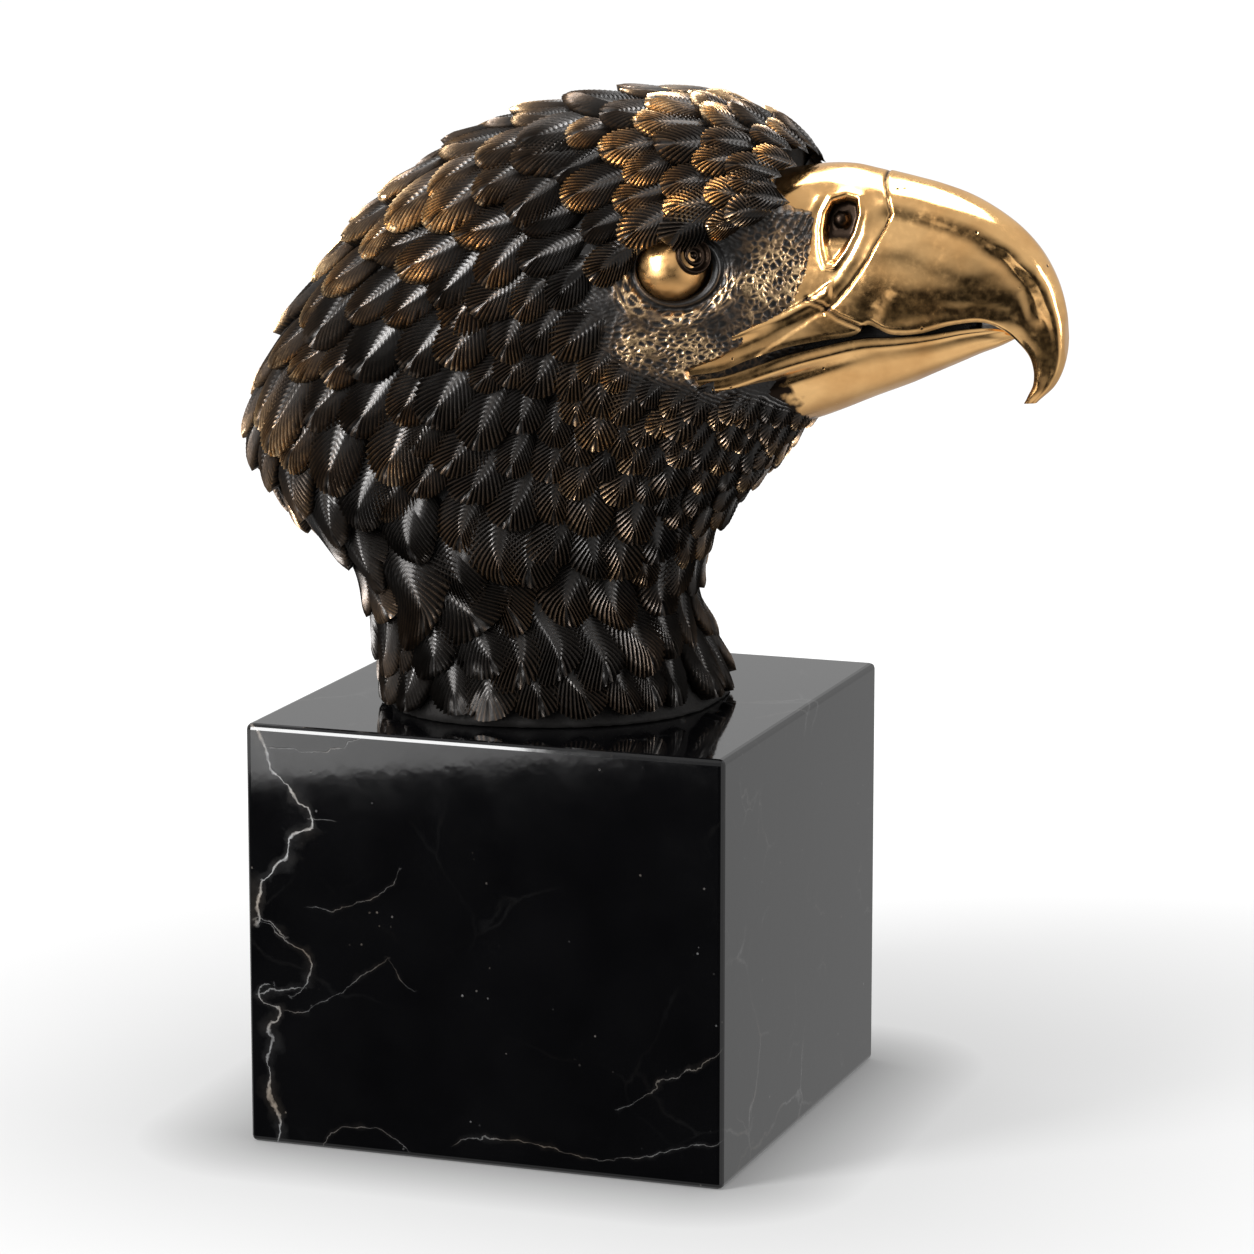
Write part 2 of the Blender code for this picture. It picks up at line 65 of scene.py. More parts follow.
# Head and neck rings from face to foot: crown or nape x, z; throat x, z; half-width; place and squareness
# of the widest point.
HEAD_STATIONS = (
    (77.0, 140.0, 76.0, 87.0, 9.0, 0.48, 0.80),
    (73.0, 146.5, 72.0, 82.0, 17.0, 0.46, 0.78),
    (66.3, 153.6, 67.0, 77.5, 21.5, 0.46, 0.78),
    (57.0, 159.3, 62.3, 72.6, 26.0, 0.46, 0.82),
    (44.0, 163.3, 57.6, 66.7, 31.0, 0.46, 0.85),
    (28.0, 164.8, 52.8, 61.9, 35.0, 0.47, 0.88),
    (8.0, 162.3, 47.8, 57.0, 38.5, 0.47, 0.92),
    (-14.0, 156.3, 43.6, 52.0, 41.5, 0.47, 0.95),
    (-35.7, 145.2, 39.7, 46.4, 44.0, 0.48, 0.98),
    (-55.0, 130.0, 37.4, 40.6, 46.0, 0.48, 1.00),
    (-70.5, 111.3, 35.5, 35.0, 47.5, 0.48, 1.00),
    (-82.3, 91.2, 34.3, 30.0, 48.5, 0.47, 0.98),
    (-87.0, 72.0, 34.5, 25.0, 48.5, 0.46, 0.95),
    (-76.5, 56.0, 35.5, 20.0, 48.0, 0.45, 0.92),
    (-57.0, 39.4, 37.5, 14.0, 48.5, 0.44, 0.88),
    (-49.0, 19.3, 39.8, 8.0, 49.5, 0.43, 0.84),
    (-45.5, 0.0, 43.5, 0.0, 51.0, 0.42, 0.80),
)

# Upper beak rings from the gape to the hook's tip: culmen x, z; cutting edge x, z; half-widths from the
# culmen down to the cutting edge.
UPPER_BEAK_STATIONS = (
    (50.0, 142.5, 45.0, 94.0, 12.0, 22.0, 28.0, 30.5),
    (58.0, 145.0, 53.0, 95.3, 11.5, 20.0, 25.5, 28.0),
    (66.0, 147.0, 60.0, 98.3, 10.5, 17.6, 22.5, 25.0),
    (74.0, 148.2, 69.0, 101.4, 8.6, 15.0, 19.6, 21.6),
    (81.0, 148.3, 78.0, 103.3, 7.5, 14.2, 17.8, 18.6),
    (87.0, 147.3, 86.0, 104.8, 7.5, 13.9, 16.8, 16.4),
    (91.5, 146.4, 89.6, 107.6, 7.3, 13.4, 16.2, 15.4),
    (98.0, 145.1, 95.5, 105.2, 7.0, 12.8, 15.0, 14.4),
    (105.0, 143.5, 103.0, 105.6, 6.6, 11.8, 13.4, 12.8),
    (113.0, 140.9, 111.0, 107.9, 6.1, 10.4, 11.4, 10.6),
    (121.0, 136.7, 118.5, 108.6, 5.5, 8.8, 9.2, 8.2),
    (128.0, 131.4, 124.0, 106.2, 4.8, 7.2, 7.2, 5.8),
    (133.6, 124.5, 127.6, 102.6, 4.2, 5.8, 5.6, 3.8),
    (137.6, 116.0, 129.9, 99.0, 3.6, 4.8, 4.4, 2.6),
    (139.3, 107.0, 130.9, 95.0, 3.0, 3.8, 3.4, 1.8),
    (138.8, 98.5, 130.6, 91.6, 2.3, 2.9, 2.6, 1.3),
    (136.2, 92.0, 129.4, 88.8, 1.6, 2.1, 1.8, 0.9),
    (131.4, 86.8, 128.0, 86.5, 0.8, 1.1, 1.0, 0.5),
)

# Lower beak rings from the gape to the tip: keel x, z; rim x, z; half-widths from the keel up to the rim.
LOWER_BEAK_STATIONS = (
    (56.0, 74.0, 45.0, 92.5, 9.0, 20.0, 27.0, 29.5),
    (61.0, 75.5, 53.0, 93.6, 8.0, 18.0, 24.5, 27.2),
    (67.0, 78.2, 60.0, 96.0, 7.0, 16.0, 21.6, 24.2),
    (75.0, 81.2, 69.0, 99.2, 6.0, 14.2, 18.8, 20.6),
    (83.0, 84.6, 78.0, 101.6, 5.6, 12.8, 16.6, 17.6),
    (91.0, 87.9, 87.0, 103.6, 5.2, 11.6, 14.6, 15.2),
    (99.0, 91.2, 96.0, 104.2, 4.8, 10.2, 12.6, 13.0),
    (107.0, 95.0, 104.5, 105.0, 4.2, 8.6, 10.4, 10.8),
    (115.0, 98.8, 113.0, 106.4, 3.4, 6.6, 7.9, 8.2),
    (121.0, 101.2, 119.5, 106.8, 2.4, 4.6, 5.4, 5.6),
    (125.5, 103.6, 124.4, 105.8, 1.0, 1.8, 2.1, 2.2),
)
SECTION_KNOTS = (0.0, 0.16, 0.50, 0.82, 1.0)
SECTION_DEPTHS = (0.0, 0.075, 0.42, 0.80, 1.0)
SECTION_CROWN_FLARE = 1.55

# The bare face, seen from the side: feathers stop along this outline.
FACE_OUTLINE = (
    (66.5, 160), (66.5, 146), (62, 138.5), (54, 134.0), (46, 132.4), (36, 129.4), (27, 124.6), (20, 118),
    (17, 111), (19, 103), (26, 96.5), (34, 92), (42, 89), (47, 87), (54, 85.5), (62, 84.5),
    (69, 82), (72, 77), (95, 72), (95, 160),
)

# Brow ridge, seen from the side, with how far it stands out
BROW_LINE = ((70, 141.5), (62, 139), (54, 136.5), (46, 134), (36, 130.5), (26, 126), (12, 120), (-4, 114))
BROW_PROUD = (2.5, 4.6, 5.8, 5.8, 5.2, 3.6, 1.6, 0.0)
BROW_WIDTH_ABOVE = 9.0
BROW_WIDTH_BELOW = 2.2

# Eye
EYE_CENTRE = np.array((39.0, 27.0, 122.3))
EYE_RADIUS = 9.7
PUPIL_AT = (5.6, 3.7, 7.3)
PUPIL_FACES = (0.40, 0.26, 0.88)
PUPIL_RINGS = ((0.0, 0.60), (0.55, 0.40), (1.0, -0.15), (1.45, -0.15), (2.0, 0.50), (2.45, 0.50), (2.9, -0.2),
               (3.35, -0.2), (3.9, 0.3), (4.4, 0.65), (4.8, 0.4), (5.05, -0.4), (5.05, -4.5), (0.0, -4.5))
SOCKET_DEPTH = 2.6
FACE_TAPER = math.radians(20)
LID_AHEAD, LID_BEHIND, LID_OVER, LID_UNDER = 10.4, 9.6, 8.2, 8.8

# Veins of the marble's front face, each a line of (place, offset) points in millimetres, with the way it runs
# ("z" up the face or "x" across it), its width and its strength
FRONT_VEINS = (
    ("z", ((0, -60.4), (8, -59.4), (14, -61.5), (22, -62.3), (28, -60.4), (33, -61.5), (38, -59.0),
           (41, -64.5), (44, -60.0)), 0.75, 0.75),
    ("z", ((42, -56.0), (45, -51.0), (50, -49.4), (55, -50.8), (58, -55.7), (60.6, -61.0), (62, -65.0)),
     0.55, 0.60),
    ("z", ((61, -65.0), (68, -64.6), (72.5, -63.6), (76.5, -59.0), (81, -55.8), (86, -53.4), (90.7, -49.0),
           (95, -52.6), (98.3, -54.0), (105.4, -61.0), (110, -62.2), (116, -66.0)), 1.0, 1.0),
    ("x", ((-65, 61.8), (-60.4, 61.2), (-55.7, 58.1)), 0.5, 0.55),
    ("x", ((-65, 41.5), (-59, 43.6), (-52, 44.4)), 0.6, 0.55),
    ("x", ((-61, 109.6), (-53, 109.8), (-46.5, 109.0), (-40.6, 111.3), (-34.6, 114.6)), 0.35, 0.40),
    ("x", ((-49, 90.5), (-46, 91.2), (-42, 92.6)), 0.35, 0.45),
    ("x", ((-49, 66.5), (-40, 67.4), (-34.7, 69.7), (-29, 72.6), (-24, 79.8)), 0.30, 0.32),
    ("x", ((-57, 36.9), (-46.5, 39.8), (-39, 46.3), (-32.8, 50.0), (-26.8, 54.6)), 0.30, 0.34),
    ("x", ((-27, 55.0), (-23.5, 50.5), (-19.3, 46.0)), 0.25, 0.28),
    ("x", ((-46, 0.5), (-42.7, 4.2), (-38, 6.7), (-32.8, 7.6), (-26.5, 5.4), (-22, 1.5)), 0.30, 0.40),
    ("x", ((38, 18.6), (46, 24.5), (58.5, 32.2), (67.4, 38.5)), 0.30, 0.42),
    ("x", ((-8, 5.0), (8, 8.0), (24, 6.0), (39, 5.6), (53, 9.8), (67.4, 13.5)), 0.30, 0.38),
)

# Feather sizes over the bust: x, z, width, length of what shows of one feather there
FEATHER_SIZES = (
    (74, 148, 4.6, 6.0), (65, 150, 5.6, 7.0), (44, 160, 9.6, 14.0), (12, 160, 11.5, 17.0),
    (-28, 146, 12.0, 19.0), (-58, 120, 12.0, 20.0), (-80, 90, 12.0, 20.0), (-84, 68, 12.5, 19.0),
    (-70, 48, 13.0, 17.0), (-48, 20, 13.0, 17.0), (-45, 4, 13.0, 16.0), (0, 8, 14.0, 18.0),
    (0, 40, 14.0, 17.0), (36, 8, 12.5, 18.0), (30, 36, 11.0, 14.0), (43, 54, 8.0, 10.0),
    (56, 72, 6.0, 7.0), (50, 82, 5.6, 6.4), (30, 86, 7.0, 8.0), (10, 94, 9.0, 11.0),
    (-14, 98, 12.0, 15.0), (-42, 90, 13.0, 18.0), (56, 142, 8.0, 10.5), (34, 134, 9.6, 13.5),
    (6, 124, 10.5, 15.0), (14, 110, 8.0, 10.0), (8, 76, 10.0, 12.0), (16, 58, 11.0, 13.0),
)
FEATHER_SIZE_REACH = 15.0
FEATHER_LIFT = 0.155
MOST_FEATHER_LIFT = 3.1
FEATHER_SEED = 11


def curve(knots, values, at):
    """Cubic through the values at the knots, read at each place in at."""
    knots = np.asarray(knots, float)
    values = np.asarray(values, float)
    span = np.diff(knots)[:, None]
    slope = np.diff(values, axis=0) / span
    tangent = np.empty_like(values)
    tangent[0], tangent[-1] = slope[0], slope[-1]
    tangent[1:-1] = (slope[:-1] * span[1:] + slope[1:] * span[:-1]) / (span[1:] + span[:-1])
    at = np.clip(np.asarray(at, float), knots[0], knots[-1])
    i = np.clip(np.searchsorted(knots, at, side="right") - 1, 0, len(knots) - 2)
    width = (knots[i + 1] - knots[i])[..., None]
    x = (at[..., None] - knots[i][..., None]) / width
    return (
        (2 * x**3 - 3 * x**2 + 1) * values[i]
        + (x**3 - 2 * x**2 + x) * width * tangent[i]
        + (3 * x**2 - 2 * x**3) * values[i + 1]
        + (x**3 - x**2) * width * tangent[i + 1]
    )


def step(x, low=0.0, high=1.0):
    """Smooth step from 0 at low to 1 at high."""
    x = np.clip((x - low) / (high - low), 0.0, 1.0)
    return x * x * (3 - 2 * x)


def bump(x, width):
    """Smooth bump: 1 at 0, falling to nearly 0 at twice the width."""
    return np.exp(-((x / width) ** 2))


def unit(vectors):
    return vectors / np.maximum(np.linalg.norm(vectors, axis=-1, keepdims=True), 1e-9)


def dot(a, b):
    return np.einsum("...i,...i->...", a, b)


def along_rings(stations, place):
    """The rings' values read at each place, from 0 at the first ring to 1 at the last."""
    return curve(np.linspace(0, 1, len(stations)), stations, place)


def line_distance(x, z, line):
    """In the side view: distance to the line, the place along its knots, and whether the point is on the
    line's left."""
    line = np.asarray(line, float)
    best = np.full(np.shape(x), np.inf)
    place = np.zeros(np.shape(x))
    left = np.zeros(np.shape(x), bool)
    for n, (a, b) in enumerate(zip(line[:-1], line[1:])):
        d = b - a
        t = np.clip(((x - a[0]) * d[0] + (z - a[1]) * d[1]) / (d @ d), 0, 1)
        away = np.hypot(x - a[0] - t * d[0], z - a[1] - t * d[1])
        nearer = away < best
        best = np.where(nearer, away, best)
        place = np.where(nearer, n + t, place)
        left = np.where(nearer, d[0] * (z - a[1]) - d[1] * (x - a[0]) > 0, left)
    return best, place, left


def inside(x, z, outline):
    """True where a point of the side view lies inside the closed outline."""
    found = np.zeros(np.shape(x), bool)
    for (ax, az), (bx, bz) in zip(outline, outline[1:] + outline[:1]):
        if az != bz:
            found ^= ((az > z) != (bz > z)) & (x < (bx - ax) * (z - az) / (bz - az) + ax)
    return found


def signed_distance(x, z, outline):
    """Distance in the side view to the closed outline, negative inside."""
    away = line_distance(x, z, outline + outline[:1])[0]
    return np.where(inside(x, z, outline), -away, away)


def head(u, v):
    """Point of the bare head and neck. u runs from face to foot. v runs from the crown, 0, down the bird's
    right side to the throat, 1, and down its left side where it is negative."""
    turn = np.abs(v)
    past = turn > 1
    turn = np.where(past, 2 - turn, turn)
    sign = np.where(past, -1.0, 1.0) * np.where(np.asarray(v) < 0, -1.0, 1.0)
    s = along_rings(HEAD_STATIONS, u)
    angle = np.pi * turn
    depth = (1 - np.cos(angle)) / 2
    depth = depth + (s[..., 5] - 0.5) * 4 * depth * (1 - depth)
    side = np.clip(np.sin(angle), 0, 1) ** s[..., 6]
    x = s[..., 0] * (1 - depth) + s[..., 2] * depth
    z = s[..., 1] * (1 - depth) + s[..., 3] * depth
    away, place, left = line_distance(x, z, BROW_LINE[::-1])
    proud = np.interp(len(BROW_PROUD) - 1 - place, range(len(BROW_PROUD)), BROW_PROUD)
    brow = proud * bump(away, np.where(left, BROW_WIDTH_ABOVE, BROW_WIDTH_BELOW))
    return np.stack([x, -(s[..., 4] + brow) * side * sign, z], -1)


def head_frame(u, v, reach=0.02):
    """Tangents along u and v, and the outward normal, smoothed over the reach."""
    low, high = np.clip(u - reach, 0, 1), np.clip(u + reach, 0, 1)
    along = (head(high, v) - head(low, v)) / (high - low)[..., None]
    across = (head(u, v + reach) - head(u, v - reach)) / (2 * reach)
    normal = unit(np.cross(along, across))
    s = along_rings(HEAD_STATIONS, u)
    middle = np.stack([(s[..., 0] + s[..., 2]) / 2, 0 * s[..., 0], (s[..., 1] + s[..., 3]) / 2], -1)
    outward = dot(head(u, v) - middle, normal)
    return along, across, normal * np.where(outward < 0, -1.0, 1.0)[..., None]


# Mesh making

def to_world(points):
    return np.asarray(points) * SCALE + np.array((0.0, 0.0, FOOT_Z))


def build_mesh(name, points, face_groups, material, layers=None, sharp=None):
    """A mesh object from points in drawn millimetres and arrays of faces, with a value per point for each
    named layer."""
    mesh = bpy.data.meshes.new(name)
    points = to_world(points)
    loops = np.concatenate([g.ravel() for g in face_groups])
    sizes = np.concatenate([np.full(len(g), g.shape[1]) for g in face_groups])
    starts = np.concatenate([[0], np.cumsum(sizes)[:-1]])
    mesh.vertices.add(len(points))
    mesh.vertices.foreach_set("co", points.ravel())
    mesh.loops.add(len(loops))
    mesh.loops.foreach_set("vertex_index", loops)
    mesh.polygons.add(len(sizes))
    mesh.polygons.foreach_set("loop_start", starts)
    mesh.update(calc_edges=True)
    mesh.validate()
    for layer, values in (layers or {}).items():
        attribute = mesh.attributes.new(layer, "FLOAT", "POINT")
        attribute.data.foreach_set("value", np.asarray(values, float).ravel())
    mesh.materials.append(material)
    mesh.shade_smooth()
    if sharp is not None:
        mesh.set_sharp_from_angle(angle=math.radians(sharp))
    made = bpy.data.objects.new(name, mesh)
    bpy.context.scene.collection.objects.link(made)
    return made


def grid_faces(rows, columns, wrap=False):
    """Quads of a grid of points, row by row."""
    j, k = np.meshgrid(np.arange(rows - 1), np.arange(columns if wrap else columns - 1), indexing="ij")
    nxt = (k + 1) % columns
    quads = np.stack([j * columns + k, (j + 1) * columns + k, (j + 1) * columns + nxt, j * columns + nxt], -1)
    return quads.reshape(-1, 4)


def bronze_piece(piece):
    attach(piece, "root")
    return piece


# Plumage

BARB_COLUMNS = (0.0, 0.09, 0.30, 0.55, 0.80, 1.0)
FIRST_BARB_TURN, TIP_TURN = -50.0, 90.0
WIDEST_AT = 0.60
QUILL_LENGTH = 0.80
SAMPLE_PLACE = 0.62
FULL_LENGTH = 1.60
FULL_WIDTH = 1.26
FEATHER_THICKNESS = 1.2
ROOT_DEPTH = -1.2
BARB_HEIGHT, BARB_HEIGHT_AT_TIP = 0.26, 1.45
BARBS_PER_MM, FEWEST_BARBS, MOST_BARBS = 0.95, 8, 18

# Chance in each feather: shares of its size, its lift and its wear, and its turn in degrees
SIZE_CHANCE, FOOT_SIZE_CHANCE = (0.84, 1.20), (0.92, 1.08)
LIFT_CHANCE = (0.62, 1.25)
WEAR_CHANCE = (0.40, 1.45)
NOTCH_CHANCE = (0.70, 0.88)
BLUNT_CHANCE = (0.72, 1.10)
AIM_CHANCE = 13
BEND_CHANCE = 0.11
ROLL_CHANCE = 0.10

# Where feathers are tried and kept. Distances are in millimetres or, where they go with a feather's size,
# shares of it.
CANDIDATES = 9000
LAST_U = 0.985
CLEAR_OF_FACE = 0.4
CERE_BACK_X, CERE_LOW_Z = 69.5, 128
ROOM_AT_FOOT = 0.75
SPACINGS = (0.95, 0.87, 0.79, 0.71, 0.66)
SPACING_HEIGHT = 12
FOOT_ROW_U = 0.93
FOOT_ROW_GAP = 0.84
FOOT_ROW_STEP = 0.62
FOOT_ROW_SHIFT = 0.045
FOOT_ROW_CLEAR = 1.10


def feather_size(points):
    """Width and length of what shows of one feather at each point."""
    table = np.array(FEATHER_SIZES, float)
    away = (points[..., 0, None] - table[:, 0]) ** 2 + (points[..., 2, None] - table[:, 1]) ** 2
    weight = np.exp(-away / (2 * FEATHER_SIZE_REACH**2)) + 1e-9
    weight /= weight.sum(-1, keepdims=True)
    return weight @ table[:, 2], weight @ table[:, 3]


def feather_tilt(u, v):
    """How far feathers turn down from the way the rings run, in degrees."""
    turn = np.abs(v)
    cheek = 30 * step(turn, 0.30, 0.60) * (1 - step(turn, 0.88, 1.0)) * (1 - step(u, 0.45, 0.80))
    crown = 18 * step(turn, 0.06, 0.20) * (1 - step(turn, 0.30, 0.60)) * (1 - step(u, 0.35, 0.60))
    return cheek + crown


def feather_frame(u, v, extra=0.0):
    """Position, direction to the tip, sideways direction, normal and the tangents along u and v."""
    along, across, normal = head_frame(u, v, 0.03)
    ahead = unit(along)
    down = across * np.where(v < 0, -1.0, 1.0)[..., None]
    down = unit(down - dot(down, ahead)[..., None] * ahead)
    angle = np.radians(feather_tilt(u, v) + extra)[..., None]
    ahead = ahead * np.cos(angle) + down * np.sin(angle)
    return head(u, v), ahead, unit(np.cross(normal, ahead)), normal, along, across


def place_feathers(random):
    """Places (u, v) of the feathers: two rows round the foot, then the rest spread as evenly as their sizes
    allow, wherever feathers grow."""
    u = random.uniform(0.0, LAST_U, CANDIDATES * 5)
    v = random.uniform(-1.0, 1.0, CANDIDATES * 5)
    point, ahead, side, normal, along, across = feather_frame(u, v)
    wide, long = feather_size(point)
    area = np.linalg.norm(np.cross(along, across), axis=-1)
    grows = signed_distance(point[:, 0], point[:, 2], FACE_OUTLINE) > CLEAR_OF_FACE
    root_x = point[:, 0] - 0.9 * long * ahead[:, 0]
    grows &= (root_x < CERE_BACK_X) | (point[:, 2] < CERE_LOW_Z)
    reach_end = (1 - u) * np.linalg.norm(along, axis=-1)
    grows &= reach_end > long * ROOM_AT_FOOT
    weight = area / (wide * long) * grows
    chosen = random.choice(len(u), CANDIDATES, replace=False, p=weight / weight.sum())

    kept_u, kept_v = [], []
    for row in range(2):
        turn = -1.0 + FOOT_ROW_SHIFT * row
        foot_v = []
        while turn < 1.0 - 0.02:
            here = feather_frame(np.array([FOOT_ROW_U]), np.array([turn]))
            foot_v.append(turn)
            turn += FOOT_ROW_GAP * feather_size(here[0])[0][0] / max(np.linalg.norm(here[5][0]), 60.0)
        foot_v = np.array(foot_v) + random.uniform(-0.006, 0.006, len(foot_v))
        foot_u = np.full(len(foot_v), FOOT_ROW_U)
        for _ in range(3):
            here = feather_frame(foot_u, foot_v)
            long_here = feather_size(here[0])[1]
            up = (1 - SAMPLE_PLACE) * FULL_LENGTH * FOOT_ROW_CLEAR + FOOT_ROW_STEP * row
            foot_u = 1.0 - up * long_here / np.linalg.norm(here[4], axis=-1)
        kept_u += list(foot_u + random.uniform(-0.010, 0.004, len(foot_v)))
        kept_v += list(foot_v)
    kept = list(feather_frame(np.array(kept_u), np.array(kept_v))[0])
    for spacing in SPACINGS:
        for i in chosen:
            gap = np.asarray(kept) - point[i]
            s, t, h = gap @ ahead[i], gap @ side[i], gap @ normal[i]
            if ((s / long[i]) ** 2 + (t / wide[i]) ** 2 + (h / SPACING_HEIGHT) ** 2).min() > spacing**2:
                kept.append(point[i])
                kept_u.append(u[i])
                kept_v.append(v[i])
    return np.array(kept_u), np.array(kept_v)


def feather_template(barbs):
    """Rows and columns of one feather's upper face, and its faces. Rows follow the barbs: even ones are
    ridges, odd ones grooves. Left, middle and right columns are -1, 0 and 1."""
    rows = 2 * barbs
    side = np.array(BARB_COLUMNS)
    column = np.concatenate([-side[:0:-1], side])
    wide = len(column)
    grid = np.arange(rows * wide).reshape(rows, wide)
    tip = rows * wide
    left = tip + 1 + np.arange(rows)
    right = left + rows
    under_tip = tip + 1 + 2 * rows
    a, b = grid[:-1], grid[1:]
    top = np.stack([a[:, :-1], b[:, :-1], b[:, 1:], a[:, 1:]], -1).reshape(-1, 4)
    walls = np.concatenate([
        np.stack([left[:-1], left[1:], b[:, 0], a[:, 0]], -1),
        np.stack([a[:, -1], b[:, -1], right[1:], right[:-1]], -1),
        np.stack([left[1:], left[:-1], right[:-1], right[1:]], -1),
        [[left[-1], under_tip, tip, grid[-1, 0]], [grid[-1, -1], tip, under_tip, right[-1]]],
    ])
    tips = np.stack([grid[-1, :-1], np.full(wide - 1, tip), grid[-1, 1:]], -1)
    tips = np.concatenate([tips, [[under_tip, left[-1], right[-1]]]])
    root = np.concatenate([grid[0], [right[0], left[0]]])[None, :]
    row, col = np.meshgrid(np.arange(rows), column, indexing="ij")
    return row, col, [np.concatenate([top, walls]), tips, root]


def feather_points(u0, v0, wide, long, random, template):
    """Points in drawn millimetres and the wear at each, for one feather that lies on the head. Its margin is
    an oval that the barbs reach from the quill, slanting towards the tip."""
    row, col, faces = template
    rows = row.shape[0]
    out = np.abs(col)
    a = row / rows
    ridge = (row % 2 == 0) * 1.0
    full_long, full_wide = long * FULL_LENGTH, wide * FULL_WIDTH

    turn = np.radians(FIRST_BARB_TURN + (TIP_TURN - FIRST_BARB_TURN) * a)
    blunt = random.uniform(*BLUNT_CHANCE)
    margin_s = WIDEST_AT + (1 - WIDEST_AT) * np.sin(turn)
    margin_t = np.cos(turn) ** np.where(turn > 0, blunt, 0.8)
    notch = np.ones((rows, 2))
    for _ in range(random.integers(1, 4)):
        depth = random.uniform(*NOTCH_CHANCE)
        notch[2 * random.integers(rows // 6, rows // 2) - 1, random.integers(0, 2)] = depth
    margin = out > 0.99
    reach = np.where(col < 0, notch[:, :1], notch[:, 1:]) * (0.975 + 0.035 * ridge)
    reach = np.where(margin, reach, 1.0)
    along_barb = out**1.18 * reach
    s = full_long * (QUILL_LENGTH * a * (1 - along_barb) + margin_s * along_barb)
    t = np.sign(col) * full_wide / 2 * margin_t * out**0.94 * reach
    bend = random.uniform(-BEND_CHANCE, BEND_CHANCE)
    t = t + bend * s**2 / full_long

    pitch = full_long / (rows / 2)
    near_tip = step(s / full_long, 0.42, 0.95)
    barb = BARB_HEIGHT * pitch * (ridge - 0.5) * 2 * np.clip(out * 3.0, 0, 1) * step(a, 0.02, 0.12)
    barb = barb * (1 + (BARB_HEIGHT_AT_TIP - 1) * near_tip)
    dome = full_wide * (0.052 * (1 - ((out - 0.45) / 0.55) ** 2) - 0.02 * out**4)
    quill = 0.026 * full_wide * (out < 0.05) - 0.008 * full_wide * (np.abs(out - 0.09) < 0.01)
    h = barb + (dome + quill * (1 - 0.5 * a)) * step(a, -0.15, 0.35)
    wear = ridge * (0.16 + 0.24 * out + (0.62 + 0.20 * margin) * near_tip)
    wear = np.where(out < 0.05, 0.22 + 0.30 * near_tip, wear)

    inward = 0.86
    left_s, left_t = s[:, 0] - 0.02 * full_long, t[:, 0] * inward
    right_s, right_t = s[:, -1] - 0.02 * full_long, t[:, -1] * inward
    tip_t = bend * full_long
    all_s = np.concatenate([s.ravel(), [full_long], left_s, right_s, [full_long * 0.965]])
    all_t = np.concatenate([t.ravel(), [tip_t], left_t, right_t, [tip_t]])
    share = np.clip(all_s / full_long, 0, 1)

    aim = random.uniform(-AIM_CHANCE, AIM_CHANCE)
    point, ahead, side, normal, along, across = (w[0] for w in feather_frame(
        np.array([u0]), np.array([v0]), aim))
    metric = np.array([[along @ ahead, across @ ahead], [along @ side, across @ side]])
    uv = np.linalg.solve(metric, np.stack([all_s - SAMPLE_PLACE * full_long, all_t]))
    u, v = np.clip(u0 + uv[0], 0.0, 1.0), np.clip(v0 + uv[1], -1.999, 1.999)
    base = head(u, v)
    normals = head_frame(u, v, 0.04)[2]

    bow = (normals[s.size] - normals[len(BARB_COLUMNS) - 1]) @ ahead / full_long
    lift = min(FEATHER_LIFT * long, MOST_FEATHER_LIFT) * random.uniform(*LIFT_CHANCE)
    overhang = step(-point[0], 30, 55) * (1 - step(point[2], 70, 95)) * step(point[2], 25, 50)
    stiff = (0.16 + 0.12 * overhang) * step(np.array(wide), 7.0, 10.5)
    root = ROOT_DEPTH * (1 - 0.8 * step(point[0], 50, 58) * step(point[2], 128, 136))
    rise = root + (lift - root) * share**1.1
    rise = rise + stiff * np.clip(bow, 0, 0.035) * (share * full_long) ** 2 / 2
    rise = rise + random.uniform(-ROLL_CHANCE, ROLL_CHANCE) * all_t * share
    top_count = s.size + 1
    height = rise.copy()
    height[: s.size] += h.ravel()
    height[s.size] += 0.01 * full_wide
    height[top_count:] = np.minimum(rise[top_count:] - FEATHER_THICKNESS, -1.1)
    points = base + normals * height[:, None]
    wear = np.concatenate([wear.ravel(), [0.95], np.zeros(2 * rows + 1)])
    return points, wear, faces


def region_wear(point):
    """How rubbed the plumage is at a point: most on the brow and crown, least low on the neck."""
    x, z = point[0], point[2]
    rubbed = 0.46 + 0.28 * step(z, 60, 130) - 0.20 * (1 - step(z, 0, 50))
    rubbed += 0.42 * bump(math.hypot(x - 54, z - 140), 20) + 0.12 * bump(math.hypot(x + 60, z - 92), 28)
    return rubbed + 0.28 * bump(math.hypot(x - 34, z - 82), 24)


def inside_cad(points, margin=0.9):
    """Points that come within the margin of the CAD box's sides are eased back into it."""
    low = (np.array(BUST_LOW) - np.array((0, 0, FOOT_Z))) / SCALE
    high = (np.array(BUST_HIGH) - np.array((0, 0, FOOT_Z))) / SCALE
    over = np.maximum(low + margin - points, 0)
    points = points + over - margin * over / (margin + over)
    over = np.maximum(points - high + margin, 0)
    points = points - over + margin * over / (margin + over)
    points[:, 2] = np.maximum(points[:, 2], 0.05)
    return points


def plumage_region(point):
    x, z = point[0], point[2]
    if z > 118 and x > -40:
        return "crown"
    if x < -28 and z > 52:
        return "nape"
    if z > 58:
        return "cheek"
    return "neck"


